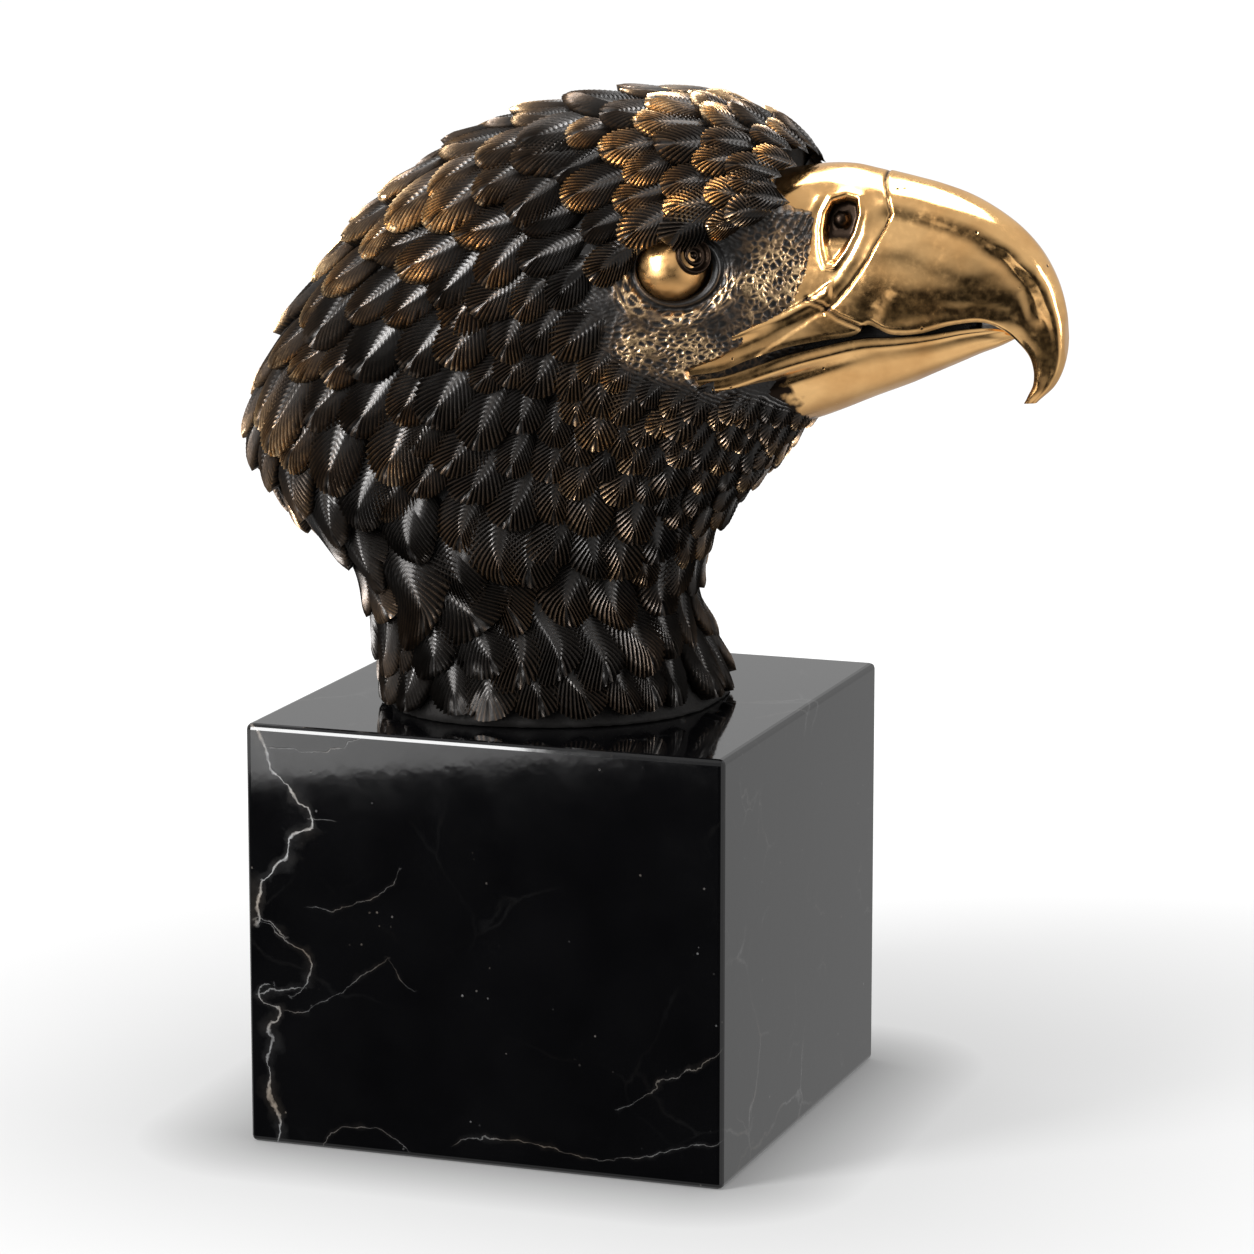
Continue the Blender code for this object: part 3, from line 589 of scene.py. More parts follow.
def build_plumage(material):
    random = np.random.default_rng(FEATHER_SEED)
    places = place_feathers(random)
    templates = {}
    groups = {}
    for u0, v0 in zip(*places):
        centre = head(np.array([u0]), np.array([v0]))[0]
        wide, long = (w[0] for w in feather_size(centre[None]))
        grow = random.uniform(*(SIZE_CHANCE if u0 < 0.86 else FOOT_SIZE_CHANCE))
        barbs = int(np.clip(round(long * BARBS_PER_MM) + 2, FEWEST_BARBS, MOST_BARBS))
        template = templates.setdefault(barbs, feather_template(barbs))
        points, wear, faces = feather_points(u0, v0, wide * grow, long * grow, random, template)
        wear = wear * region_wear(centre) * random.uniform(*WEAR_CHANCE)
        group = groups.setdefault(plumage_region(centre), {"points": [], "wear": [], "faces": {}, "count": 0})
        for part in faces:
            group["faces"].setdefault(part.shape[1], []).append(part + group["count"])
        group["points"].append(points)
        group["wear"].append(wear)
        group["count"] += len(points)
    made = []
    for name, group in groups.items():
        faces = [np.concatenate(parts) for parts in group["faces"].values()]
        points = inside_cad(np.concatenate(group["points"]))
        layers = {"wear": np.concatenate(group["wear"])}
        made.append(build_mesh("plumage_" + name, points, faces, material, layers, sharp=78))
    return made


# Bare skin of the face, and the dark skin under the feathers

LORE_CELL, CHEEK_CELL, LID_CELL = 1.85, 1.45, 1.35
FACE_ROWS, FACE_COLUMNS = 280, 280
FACE_TO_U, FACE_FROM_V, FACE_TO_V = 0.46, (0.13, 0.36), (0.93, 0.72)
UNDERSKIN_ROWS, UNDERSKIN_COLUMNS = 130, 170
CERE_DEPTH = 9.0
LIP_THICKNESS = 1.6

# The skin sinks behind the lips inside this outline of the side view: places along x, and half-widths there
MOUTH_OUTLINE = (
    (44.0, 95.5), (47.5, 97.2), (52.5, 99.2), (57.5, 102.4), (60.5, 107.2), (68.0, 109.2), (75.0, 111.2),
    (80.0, 110.0), (92.0, 104.0), (92.0, 90.0), (70.0, 93.4), (62.0, 93.2), (56.0, 90.4), (51.5, 88.4),
    (47.3, 90.0), (44.6, 93.4),
)
LIP_WIDTHS = ((45.0, 53.0, 60.0, 69.0, 78.0, 92.0), (29.8, 27.4, 24.4, 21.0, 18.0, 14.6))


def cells(points, size):
    """At each point, the gap between the two nearest cell centres of a crackle pattern: 0 on a border."""
    found = np.empty(len(points))
    for n, p in enumerate(points / size):
        near = noise.voronoi(Vector(p))[0]
        found[n] = near[1] - near[0]
    return found


def roughness(points, size, depth=3):
    """Smooth noise about 0 at each point, with detail down to a fraction of the size."""
    return np.array([noise.fractal(Vector(p), 1.0, 2.0, depth) for p in points / size])


def eye_frame(points):
    """Places forward, up and outward of the eye's middle, in a frame turned with the side of the face, and
    the distance from the middle measured in lid openings. The points' y is positive outward."""
    x, y, z = (points - EYE_CENTRE).T
    ahead = x * math.cos(FACE_TAPER) - y * math.sin(FACE_TAPER)
    outward = x * math.sin(FACE_TAPER) + y * math.cos(FACE_TAPER)
    reach = np.where(ahead > 0, LID_AHEAD, LID_BEHIND)
    rise = np.where(z > 0, LID_OVER, LID_UNDER)
    return ahead, z, outward, np.hypot(ahead / reach, z / rise)


def face_relief(points):
    """Displacement outward and wear of the bare face at points in drawn millimetres."""
    x, z = points[:, 0], points[:, 2]
    edge = -signed_distance(x, z, FACE_OUTLINE)
    ahead, up, _, lids = eye_frame(points)
    warp = roughness(points, 7.0)
    grain = roughness(points * np.array((1.0, 1.0, 2.6)), 1.5)
    bent = points + np.stack([warp, warp, -warp], -1) * 0.8
    round_eye = np.arctan2(up, ahead) * 12.0
    polar = np.stack([round_eye * 0.45, lids * 10.0, 0 * lids], -1)

    lore = bump(np.hypot((x - 67) / 1.1, (z - 119) / 1.1), 10.0) * step(x, 54, 60)
    cheek = bump(np.hypot((x - 42) / 2.2, z - 100.5), 8.5) * step(lids, 1.6, 2.0)
    under = bump(lids - 1.50, 0.32) * step(-up, -3, 3)
    ridges = 0
    wear = 0
    for mask, gap, gold in (
        (lore, cells(bent, LORE_CELL), 1.35),
        (cheek, cells(bent * np.array((0.60, 0.8, 1.0)), CHEEK_CELL), 1.15),
        (under, cells(polar, LID_CELL), 0.85),
    ):
        ridge = np.exp(-((gap / 0.24) ** 2))
        mask = np.clip(mask * 1.25, 0, 1)
        ridges = ridges + 0.46 * (ridge - 0.45) * mask
        wear = wear + gold * ridge * mask * (0.85 + 0.6 * warp) * step(edge, 0.5, 5.0)

    h = ridges + 0.30 * warp + 0.10 * grain
    h = h - 0.9 * bump(np.hypot((x - 57) / 0.6, (z - 120) / 1.5), 7.0)
    bristle = bump(np.hypot(x - 71, (z - 137) / 1.5), 6.5)
    strokes = np.sin((x * 0.80 - z * 0.45) * 4.0 + 2.6 * warp)
    h = h + 0.22 * strokes * bristle
    fringe = (1 - step(edge, 1, 7)) * (1 - bristle)
    hair = np.sin((x * 0.50 + z * 0.90) * 5.2 + 3.6 * warp)
    h = h + 0.22 * hair * fringe
    wear = wear + 0.28 * np.clip(strokes, 0, 1) * bristle + 0.22 * np.clip(hair, 0, 1) * fringe

    h = h * step(lids, 1.10, 1.30) + 0.60 * bump(lids - 1.08, 0.07) - 0.55 * bump(lids - 1.24, 0.07)
    wear = wear * step(lids, 1.16, 1.34) + 0.50 * bump(lids - 1.12, 0.035) * step(-up, -2, 3)
    return h, np.clip(wear, 0, 1)


def open_lids(points):
    """Sinks the skin behind the eyeball within the lids' opening. The points' y is positive outward."""
    ahead, up, outward, lids = eye_frame(points)
    behind = np.sqrt(np.clip(EYE_RADIUS**2 - ahead**2 - up**2, 0, None)) - 2.5
    opening = 1 - step(lids, 0.90, 1.02)
    shift = (np.minimum(behind, outward - 2.5) - outward) * opening
    direction = np.array((math.sin(FACE_TAPER), math.cos(FACE_TAPER), 0.0))
    return points + shift[:, None] * direction, opening


def build_face(side, material):
    back, down = np.meshgrid(np.linspace(0, 1, FACE_ROWS), np.linspace(0, 1, FACE_COLUMNS), indexing="ij")
    u = (back * FACE_TO_U).ravel()
    first, last = (start + (end - start) * back for start, end in (FACE_FROM_V, FACE_TO_V))
    v = (first + (last - first) * down).ravel()
    outward = np.array((1, -1, 1))
    points = head(u, v) * outward
    normals = head_frame(u, v, 0.015)[2] * outward
    h, wear = face_relief(points)
    x, z = points[:, 0], points[:, 2]
    covered = step(signed_distance(x, z, FACE_OUTLINE), 3, 8)
    points = points + normals * (h - 0.1 - 1.2 * covered)[:, None]
    points = points - normals * (CERE_DEPTH * step(x, 63.5, 67.0) * step(z, 136, 141))[:, None]
    lids = eye_frame(points)[3]
    points[:, 1] -= SOCKET_DEPTH * (1 - step(lids, 1.05, 1.70))
    in_mouth = 1 - step(signed_distance(x, z, MOUTH_OUTLINE), -1.4, 0.2)
    behind_lip = np.interp(points[:, 0], *LIP_WIDTHS) - LIP_THICKNESS
    points[:, 1] -= in_mouth * np.maximum(points[:, 1] - behind_lip, 0)
    points, opening = open_lids(points)
    wear = wear * (1 - covered) * (1 - opening)
    faces = grid_faces(FACE_ROWS, FACE_COLUMNS)
    if side == RIGHT:
        points = points * outward
    else:
        faces = faces[:, ::-1]
    return build_mesh("face_" + SIDE_NAMES[side], points, [faces], material, {"wear": wear})


def build_underskin(material):
    """The skin that shows only in the gaps between feathers, sunk where the face's own skin covers it."""
    rows, columns = UNDERSKIN_ROWS, UNDERSKIN_COLUMNS
    u, v = np.linspace(0.02, 1.0, rows), np.linspace(-1, 1, columns, endpoint=False)
    u, v = np.meshgrid(u, v, indexing="ij")
    u, v = u.ravel(), v.ravel()
    points = head(u, v)
    bare = 1 - step(signed_distance(points[:, 0], points[:, 2], FACE_OUTLINE), 1, 4)
    grain = np.sin((points[:, 0] * 0.6 + points[:, 2] * 0.8) * 5.0 + 3.0 * roughness(points, 4.0))
    normals = head_frame(u, v, 0.03)[2]
    at_cere = step(points[:, 0], 65, 68) * step(points[:, 2], 134, 139)
    points = points - normals * (0.75 + 5.2 * bare + 4.5 * at_cere - 0.3 * grain * (1 - bare))[:, None]
    points[:, 2] = np.maximum(points[:, 2], 0.0)
    points[-columns:, 2] = 0.0
    centre = np.array([points[:columns].mean(0), points[-columns:].mean(0)])
    first, last = len(points), len(points) + 1
    ring = np.arange(columns)
    top = np.stack([ring, np.roll(ring, -1), np.full(columns, first)], -1)
    base = ring + (rows - 1) * columns
    bottom = np.stack([np.roll(base, -1), base, np.full(columns, last)], -1)
    faces = [grid_faces(rows, columns, wrap=True), np.concatenate([top, bottom])]
    return build_mesh("underskin", np.concatenate([points, centre]), faces, material,
                      {"wear": np.zeros(len(points) + 2)})


# Beak. A grid's size is its rings and its points from the ridge to a lip.

UPPER_BEAK_GRID, LOWER_BEAK_GRID = (300, 100), (170, 60)
CERE_GROOVE = ((89.9, 147.4), (91.0, 144.5), (92.6, 141.0), (94.1, 136.6), (92.9, 133.0), (91.0, 129.0),
               (89.0, 124.4), (84.8, 117.8), (80.9, 113.0), (77.6, 110.6))
FLANGE_CREASE = ((73.5, 114.0), (77.5, 112.6), (82.0, 109.4), (89.0, 106.4), (92.0, 105.9))
FLANGE_TOP = ((52.5, 104.5), (60.5, 107.5), (68.0, 111.0), (73.5, 114.0), (77.0, 116.5))
HOOD_FOLD = ((72.6, 135.5), (75.0, 140.6), (80.0, 141.6), (85.4, 141.0), (88.0, 137.2), (87.6, 131.0),
             (85.4, 125.0), (82.0, 119.5), (79.0, 116.0))
NOSTRIL = ((76.6, 136.2), (78.2, 139.4), (81.8, 140.6), (84.8, 139.9), (85.6, 136.4), (84.6, 131.6),
           (82.6, 127.0), (80.0, 123.2), (78.2, 123.4), (76.9, 127.0), (76.2, 131.8))
NOSTRIL_BEAD, NOSTRIL_BEAD_RADIUS = (80.6, 135.0), 2.2

# Long shallow folds on the upper beak's side, each a line of the side view with its width and height
BEAK_FOLDS = (
    (((94, 140.0), (105, 138.0), (116, 134.5), (125, 129.0), (131, 121.0)), 2.5, 0.35),
    (((93.7, 135.4), (101.5, 133.9), (109.2, 131.7), (115.6, 129.5), (123.3, 124.9), (130, 118), (132, 110)),
     2.4, -0.60),
    (((92, 128.5), (99.3, 127.1), (107, 123.7), (114.7, 121.6)), 3.0, 0.40),
    (((98, 117.5), (106, 116.4), (112, 116.0)), 4.5, 0.60),
    (((90, 113.0), (94.2, 114.5), (102, 111.7), (117.4, 113.0), (125, 110.9)), 2.6, -0.32),
    (((91.8, 106.8), (99.5, 107.0), (107.2, 108.6), (116.1, 110.0), (123, 108.8)), 1.6, 0.20),
)


def beak_section(widths, t):
    """Half-width and depth, as a share of the chord, at t along the side of a beak ring."""
    outline = np.stack([np.concatenate([[0.0], widths]), SECTION_DEPTHS], -1)
    knots = np.asarray(SECTION_KNOTS)
    slope = np.diff(outline, axis=0) / np.diff(knots)[:, None]
    lead = knots[0] - 0.5 * (knots[1] - knots[0])
    first = outline[0] - slope[0] * np.array([SECTION_CROWN_FLARE, 0.0]) * (knots[0] - lead)
    along = curve(np.concatenate([[lead], knots]), np.concatenate([[first], outline]), t)
    return along[..., 0], along[..., 1]


def beak_grid(stations, rings, points_a_side):
    """Points (rings, columns, 3) of a beak, their normals, and t, which is 0 at the ridge and 1 at the lips.
    Columns run from one lip over the ridge to the other."""
    t = np.linspace(0, 1, points_a_side)
    found = []
    for s in along_rings(stations, np.linspace(0, 1, rings)):
        width, depth = beak_section(s[4:8], t)
        half = np.stack([s[0] * (1 - depth) + s[2] * depth, -width, s[1] * (1 - depth) + s[3] * depth], -1)
        half[0, 1] = 0.0
        found.append(np.concatenate([half[::-1], half[1:] * np.array((1, -1, 1))]))
    grid = np.array(found)
    normals = unit(np.cross(np.gradient(grid, axis=0), np.gradient(grid, axis=1)))
    t = np.abs(np.linspace(-1, 1, 2 * points_a_side - 1))[None, :] * np.ones((rings, 1))
    return grid, normals, t


def upper_beak_relief(x, z, t):
    """Displacement outward and darkness over the upper beak. t is 0 at the ridge and 1 at the lip."""
    groove, place, behind = line_distance(x, z, CERE_GROOVE)
    behind_groove = step(np.where(behind, groove, -groove), -0.4, 0.8)
    crease = line_distance(x, z, FLANGE_CREASE)[0]
    top_edge, _, over_top = line_distance(x, z, FLANGE_TOP)
    pit = signed_distance(x, z, NOSTRIL)
    fold = line_distance(x, z, HOOD_FOLD)[0]
    low = t > 0.12

    h = 0.30 * behind_groove - 0.50 * bump(groove, 0.36)
    h = h - 0.80 * bump(crease, 0.55) * low
    for line, width, height in BEAK_FOLDS:
        h = h + height * bump(line_distance(x, z, line)[0], width) * step(t, 0.10, 0.22)
    h = h + 0.28 * bump(fold, 1.1)
    h = h + 0.55 * bump(pit - 0.75, 0.65)
    deep = step(z, 127, 132)
    h = h - (1.3 + 1.7 * deep) * step(-pit, -0.15, 1.2)
    bead = np.hypot(x - NOSTRIL_BEAD[0], z - NOSTRIL_BEAD[1])
    h = h + NOSTRIL_BEAD_RADIUS * np.sqrt(np.clip(1 - (bead / NOSTRIL_BEAD_RADIUS) ** 2, 0, 1))
    h = h + (0.9 + 1.2 * (1 - step(x, 58, 66))) * bump(top_edge - 1.6, 1.7) * (~over_top) * low * (x < 80)
    dark = 0.9 * bump(groove, 0.42) + 0.9 * bump(crease, 0.6) * low
    dark = dark + step(-pit, 0.0, 0.9) * (0.35 + 0.65 * deep)
    dark = dark + 0.8 * bump(top_edge, 0.6) * (x < 78) * low
    lip = step(t, 0.965, 1.0)
    return h - 0.35 * lip, np.clip(dark + 0.50 * lip * (x < 122), 0, 1)


def close_grid(grid):
    """Points and faces of a beak: its skin and its flat mouth side."""
    rings, columns = grid.shape[:2]
    points = grid.reshape(-1, 3)
    faces = [grid_faces(rings, columns)]
    first = np.arange(rings - 1) * columns
    faces.append(np.stack([first + columns - 1, first + 2 * columns - 1, first + columns, first], -1))
    return points, faces


def build_upper_beak(material):
    rings, points_a_side = UPPER_BEAK_GRID
    grid, normals, t = beak_grid(UPPER_BEAK_STATIONS, rings, points_a_side)
    x, z = grid[..., 0], grid[..., 2]
    h, dark = upper_beak_relief(x, z, t)
    swell = roughness(grid.reshape(-1, 3) * np.array((0.55, 1.0, 1.0)), 9.0, 2).reshape(x.shape)
    h = h + 0.30 * swell * step(t, 0.02, 0.12)
    tip = np.linspace(0, 1, rings)[:, None]
    h = h * (1 - step(tip, 0.93, 1.0))
    grid = inside_cad((grid + normals * h[..., None]).reshape(-1, 3), 0.25).reshape(grid.shape)
    points, faces = close_grid(grid)
    return build_mesh("beak_upper", points, faces, material, {"dark": dark}, sharp=60)


def build_lower_beak(material):
    grid, inward, t = beak_grid(LOWER_BEAK_STATIONS, *LOWER_BEAK_GRID)
    x, z = grid[..., 0], grid[..., 2]
    swell = roughness(grid.reshape(-1, 3), 12.0, 2).reshape(x.shape)
    back = 1 - step(x, 66, 92)
    h = 0.14 * swell + (0.35 + 0.75 * back) * bump(t - 0.87, 0.07) - 0.8 * back * bump(t - 0.72, 0.05)
    ragged = roughness(grid.reshape(-1, 3), 4.0).reshape(x.shape)
    dark = 0.9 * step(t, 0.97, 1.0) + 0.75 * back * bump(t - 0.72 + 0.02 * ragged, 0.04)
    dark = dark + 0.95 * (1 - step(x + 3.5 * ragged + 8 * (t - 0.4), 67, 71)) * (1 - step(t, 0.70, 0.76))
    grid = grid - inward * (h * (1 - step(x, 118, 125)))[..., None]
    points, faces = close_grid(grid)
    return build_mesh("beak_lower", points, [f[:, ::-1] for f in faces], material, {"dark": dark}, sharp=60)


def build_mouth_core(material):
    """The dark inside of the mouth, between the lips."""
    loops = []
    for s in along_rings(LOWER_BEAK_STATIONS, np.linspace(0.02, 0.82, 40)):
        wide, low, high = s[7] * 0.80, s[3] - 3, s[3] + 5.5
        corners = ((-wide, low), (-wide, high), (wide, high), (wide, low))
        loops.append([(s[2], side, z) for side, z in corners])
    points = np.array(loops).reshape(-1, 3)
    last = len(points) - 4
    ends = [[3, 2, 1, 0], [last, last + 1, last + 2, last + 3]]
    faces = np.concatenate([grid_faces(len(loops), 4, wrap=True), ends])
    return build_mesh("mouth_core", points, [faces], material, {"wear": np.zeros(len(points))})


# Eyes

def turned(profile, centre, axis, columns=96):
    """Points and faces of a closed form turned round an axis, from (radius, height) pairs end to end."""
    axis = np.asarray(axis) / np.linalg.norm(axis)
    across = np.cross(axis, (0, 0, 1.0))
    across /= np.linalg.norm(across)
    turn = 2 * np.pi * np.arange(columns) / columns
    ring = np.cos(turn)[:, None] * across + np.sin(turn)[:, None] * np.cross(across, axis)
    radius, height = np.asarray(profile).T
    points = centre + radius[1:-1, None, None] * ring + height[1:-1, None, None] * axis
    points = np.concatenate([points.reshape(-1, 3), centre + np.outer(height[[0, -1]], axis)])
    rows = len(radius) - 2
    first = np.arange(columns)
    last = first + (rows - 1) * columns
    caps = [np.stack([np.full(columns, rows * columns), first, np.roll(first, -1)], -1),
            np.stack([np.full(columns, rows * columns + 1), np.roll(last, -1), last], -1)]
    return points, grid_faces(rows, columns, wrap=True), np.concatenate(caps)


def from_eye_frame(ahead, up, outward):
    return np.array((ahead * math.cos(FACE_TAPER) + outward * math.sin(FACE_TAPER),
                     outward * math.cos(FACE_TAPER) - ahead * math.sin(FACE_TAPER), up))


def build_eye(side, material):
    """An eyeball and its raised pupil, a dark button of fine rings."""
    polar = np.linspace(0, np.pi, 80)
    ball = EYE_RADIUS * np.stack([np.sin(polar), np.cos(polar)], -1)
    ball = turned(ball, EYE_CENTRE, from_eye_frame(0, 0, 1))
    radii = np.array([r for r, _ in PUPIL_RINGS])
    top = np.linspace(0, radii[-2], 90)
    heights = curve(radii[:-2], [[h] for _, h in PUPIL_RINGS[:-2]], top)[:, 0]
    rings = np.concatenate([np.stack([top, heights], -1), PUPIL_RINGS[-2:]])
    pupil_at = EYE_CENTRE + from_eye_frame(*PUPIL_AT)
    pupil = turned(rings, pupil_at, from_eye_frame(*PUPIL_FACES))
    count = len(ball[0])
    points = np.concatenate([ball[0], pupil[0]])
    faces = [np.concatenate([ball[n], pupil[n] + count]) for n in (1, 2)]
    away = np.linalg.norm(ball[0] - pupil_at, axis=1)
    dark = np.concatenate([0.7 * (1 - step(away, 4.7, 5.5)), np.ones(len(pupil[0]))])
    if side == RIGHT:
        points = points * np.array((1, -1, 1))
        faces = [f[:, ::-1] for f in faces]
    return build_mesh("eye_" + SIDE_NAMES[side], points, faces, material, {"dark": dark}, sharp=50)


# Materials

class Nodes:
    """Nodes of a material or world, added by short calls that each return a socket."""

    def __init__(self, owner, place):
        owner.use_nodes = True
        self.tree = owner.node_tree
        self.place = self.add("ShaderNodeTexCoord", output=place)

    def put(self, socket, value):
        if isinstance(value, bpy.types.NodeSocket):
            self.tree.links.new(value, socket)
        else:
            socket.default_value = value

    def add(self, kind, inputs=None, output=0, **settings):
        node = self.tree.nodes.new(kind)
        for key, value in settings.items():
            setattr(node, key, value)
        for key, value in (inputs or {}).items():
            self.put(node.inputs[key], value)
        return node.outputs[output]

    def calc(self, operation, a, b=0.0, clamp=False):
        return self.add("ShaderNodeMath", {0: a, 1: b}, operation=operation, use_clamp=clamp)

    def vector(self, operation, a, b, **settings):
        return self.add("ShaderNodeVectorMath", {0: a, 1: b}, operation=operation, **settings)

    def axes(self):
        return self.add("ShaderNodeSeparateXYZ", {0: self.place}).node.outputs

    def span(self, at, low, high, first=0.0, last=1.0):
        """Straight map of at, from low..high to first..last, held at the ends."""
        return self.add("ShaderNodeMapRange", {0: at, 1: low, 2: high, 3: first, 4: last})


class Shader(Nodes):
    """A material with one surface shader."""

    def __init__(self, name):
        self.material = bpy.data.materials.new(name)
        super().__init__(self.material, "Object")
        self.surface = self.tree.nodes["Principled BSDF"]

    def finish(self, **inputs):
        for key, value in inputs.items():
            self.put(self.surface.inputs[key.replace("_", " ")], value)
        return self.material

    def noise(self, size, detail=2.0, vector=None):
        """Noise with features of about that size, in metres."""
        inputs = {"Vector": vector or self.place, "Scale": 1 / size, "Detail": detail}
        return self.add("ShaderNodeTexNoise", inputs)

    def voronoi(self, scale, vector=None, **settings):
        inputs = {"Vector": vector or self.place, "Scale": scale}
        return self.add("ShaderNodeTexVoronoi", inputs, output="Distance", **settings)

    def value(self, name):
        return self.add("ShaderNodeAttribute", output="Fac", attribute_name=name)

    def blend(self, share, a, b):
        return self.add("ShaderNodeMix", {0: share, 6: a, 7: b}, output=2, data_type="RGBA")

    def ramp(self, at, stops):
        node = self.tree.nodes.new("ShaderNodeValToRGB")
        self.put(node.inputs[0], at)
        while len(node.color_ramp.elements) < len(stops):
            node.color_ramp.elements.new(0.5)
        for element, (place, colour) in zip(node.color_ramp.elements, stops):
            element.position = place
            element.color = (*colour, 1.0)
        return node.outputs[0]

    def shifted(self, far):
        """The object's coordinates moved sideways, for noise that doesn't match the noise read elsewhere."""
        return self.vector("ADD", self.place, (far, far, far))

    def warped(self, size, reach):
        """The object's coordinates pushed about by noise, which bends what is drawn with them."""
        push = self.noise(size, 5.0).node.outputs["Color"]
        push = self.vector("SUBTRACT", push, (0.5, 0.5, 0.5))
        push = self.add("ShaderNodeVectorMath", {0: push, "Scale": reach}, operation="SCALE")
        return self.vector("ADD", self.place, push)

    def vein(self, along, across, line, width, strength):
        """1 on a line drawn in the plane of along and across, and 0 past its width and its two ends."""
        first, last = line[0][0], line[-1][0]
        low = min(offset for _, offset in line) - 1.0
        high = max(offset for _, offset in line) + 1.0
        node = self.tree.nodes.new("ShaderNodeFloatCurve")
        points = node.mapping.curves[0].points
        while len(points) < len(line):
            points.new(0.5, 0.5)
        for point, (place, offset) in zip(points, line):
            point.location = ((place - first) / (last - first), (offset - low) / (high - low))
            point.handle_type = "AUTO"
        node.mapping.update()
        self.put(node.inputs["Value"], self.span(along, first * MM, last * MM))
        middle = self.span(node.outputs[0], 0.0, 1.0, low * MM, high * MM)
        away = self.calc("DIVIDE", self.calc("ABSOLUTE", self.calc("SUBTRACT", across, middle)), width)
        fade = 2.5 * MM
        ends = self.calc("MULTIPLY", self.span(along, first * MM - fade / 2, first * MM + fade / 2),
                         self.span(along, last * MM - fade / 2, last * MM + fade / 2, 1.0, 0.0))
        core = self.span(away, 0.12, 0.62, strength, 0.0)
        halo = self.span(away, 0.5, 4.0, 0.05 * strength, 0.0)
        return self.calc("MULTIPLY", self.calc("MAXIMUM", core, halo), ends)

    def bump(self, height, depth, strength):
        return self.add("ShaderNodeBump", {"Height": height, "Distance": depth, "Strength": strength})


def patinated_bronze(name, shine=1.0):
    """Dark brown patina, rubbed through to golden bronze where the layer wear is high, and dull where it was
    never rubbed because the shine is low."""
    s = Shader(name)
    broad, middle, fine = s.noise(0.011), s.noise(0.0022), s.noise(0.0006, 2.0)
    wear = s.value("wear")
    uneven = s.calc("ADD", s.span(broad, 0.3, 0.7, -0.20, 0.20), s.span(middle, 0.3, 0.7, -0.16, 0.16))
    rubbed = s.calc("MULTIPLY", wear, s.calc("ADD", uneven, 1.0), clamp=True)
    colour = s.ramp(rubbed, (
        (0.00, (0.0040, 0.0033, 0.0029)), (0.16, (0.012, 0.0092, 0.0072)), (0.40, (0.060, 0.040, 0.026)),
        (0.66, (0.25, 0.163, 0.090)), (0.92, (0.76, 0.52, 0.28)),
    ))
    rough = s.calc("ADD", s.span(rubbed, 0.0, 0.9, 0.80 - 0.38 * shine, 0.27),
                   s.span(fine, 0.3, 0.7, -0.05, 0.07))
    normal = s.bump(s.calc("ADD", s.calc("MULTIPLY", middle, 0.6), fine), 0.00012, 0.55)
    return s.finish(Base_Color=colour, Metallic=s.span(rubbed, 0.0, 0.6, 0.62, 1.0), Roughness=rough,
                    Normal=normal, Coat_Weight=0.26 * shine, Coat_Roughness=0.30)


def polished_bronze(name, gloss):
    """Bright golden bronze with brown staining, fine pits and dark patina where the layer dark is high."""
    s = Shader(name)
    cloud, fine = s.noise(0.016, 3.0), s.noise(0.0016, 3.0)
    dark = s.calc("ADD", s.value("dark"), s.span(fine, 0.35, 0.75, -0.06, 0.10), clamp=True)
    stain = s.span(cloud, 0.40, 0.72, 0.0, 0.70)
    metal = s.blend(stain, (0.90, 0.54, 0.225, 1), (0.58, 0.285, 0.09, 1))
    pit = s.calc("MULTIPLY", s.span(s.voronoi(210.0), 0.05, 0.11, 1.0, 0.0),
                 s.span(s.noise(0.008, 1.0), 0.54, 0.58))
    sunk = s.calc("MAXIMUM", dark, pit)
    colour = s.blend(s.span(sunk, 0.08, 0.85), metal, (0.016, 0.0105, 0.0075, 1))
    rough = s.calc("ADD", s.span(sunk, 0.0, 0.9, gloss, 0.30), s.span(fine, 0.3, 0.8, -0.03, 0.09))
    rough = s.calc("ADD", rough, s.span(cloud, 0.35, 0.75, 0.0, 0.08))
    height = s.calc("SUBTRACT", s.calc("MULTIPLY", s.noise(0.0045, 2.0), 0.5), pit)
    normal = s.bump(height, 0.00022, 0.5)
    return s.finish(Base_Color=colour, Metallic=1.0, Roughness=rough, Normal=normal)


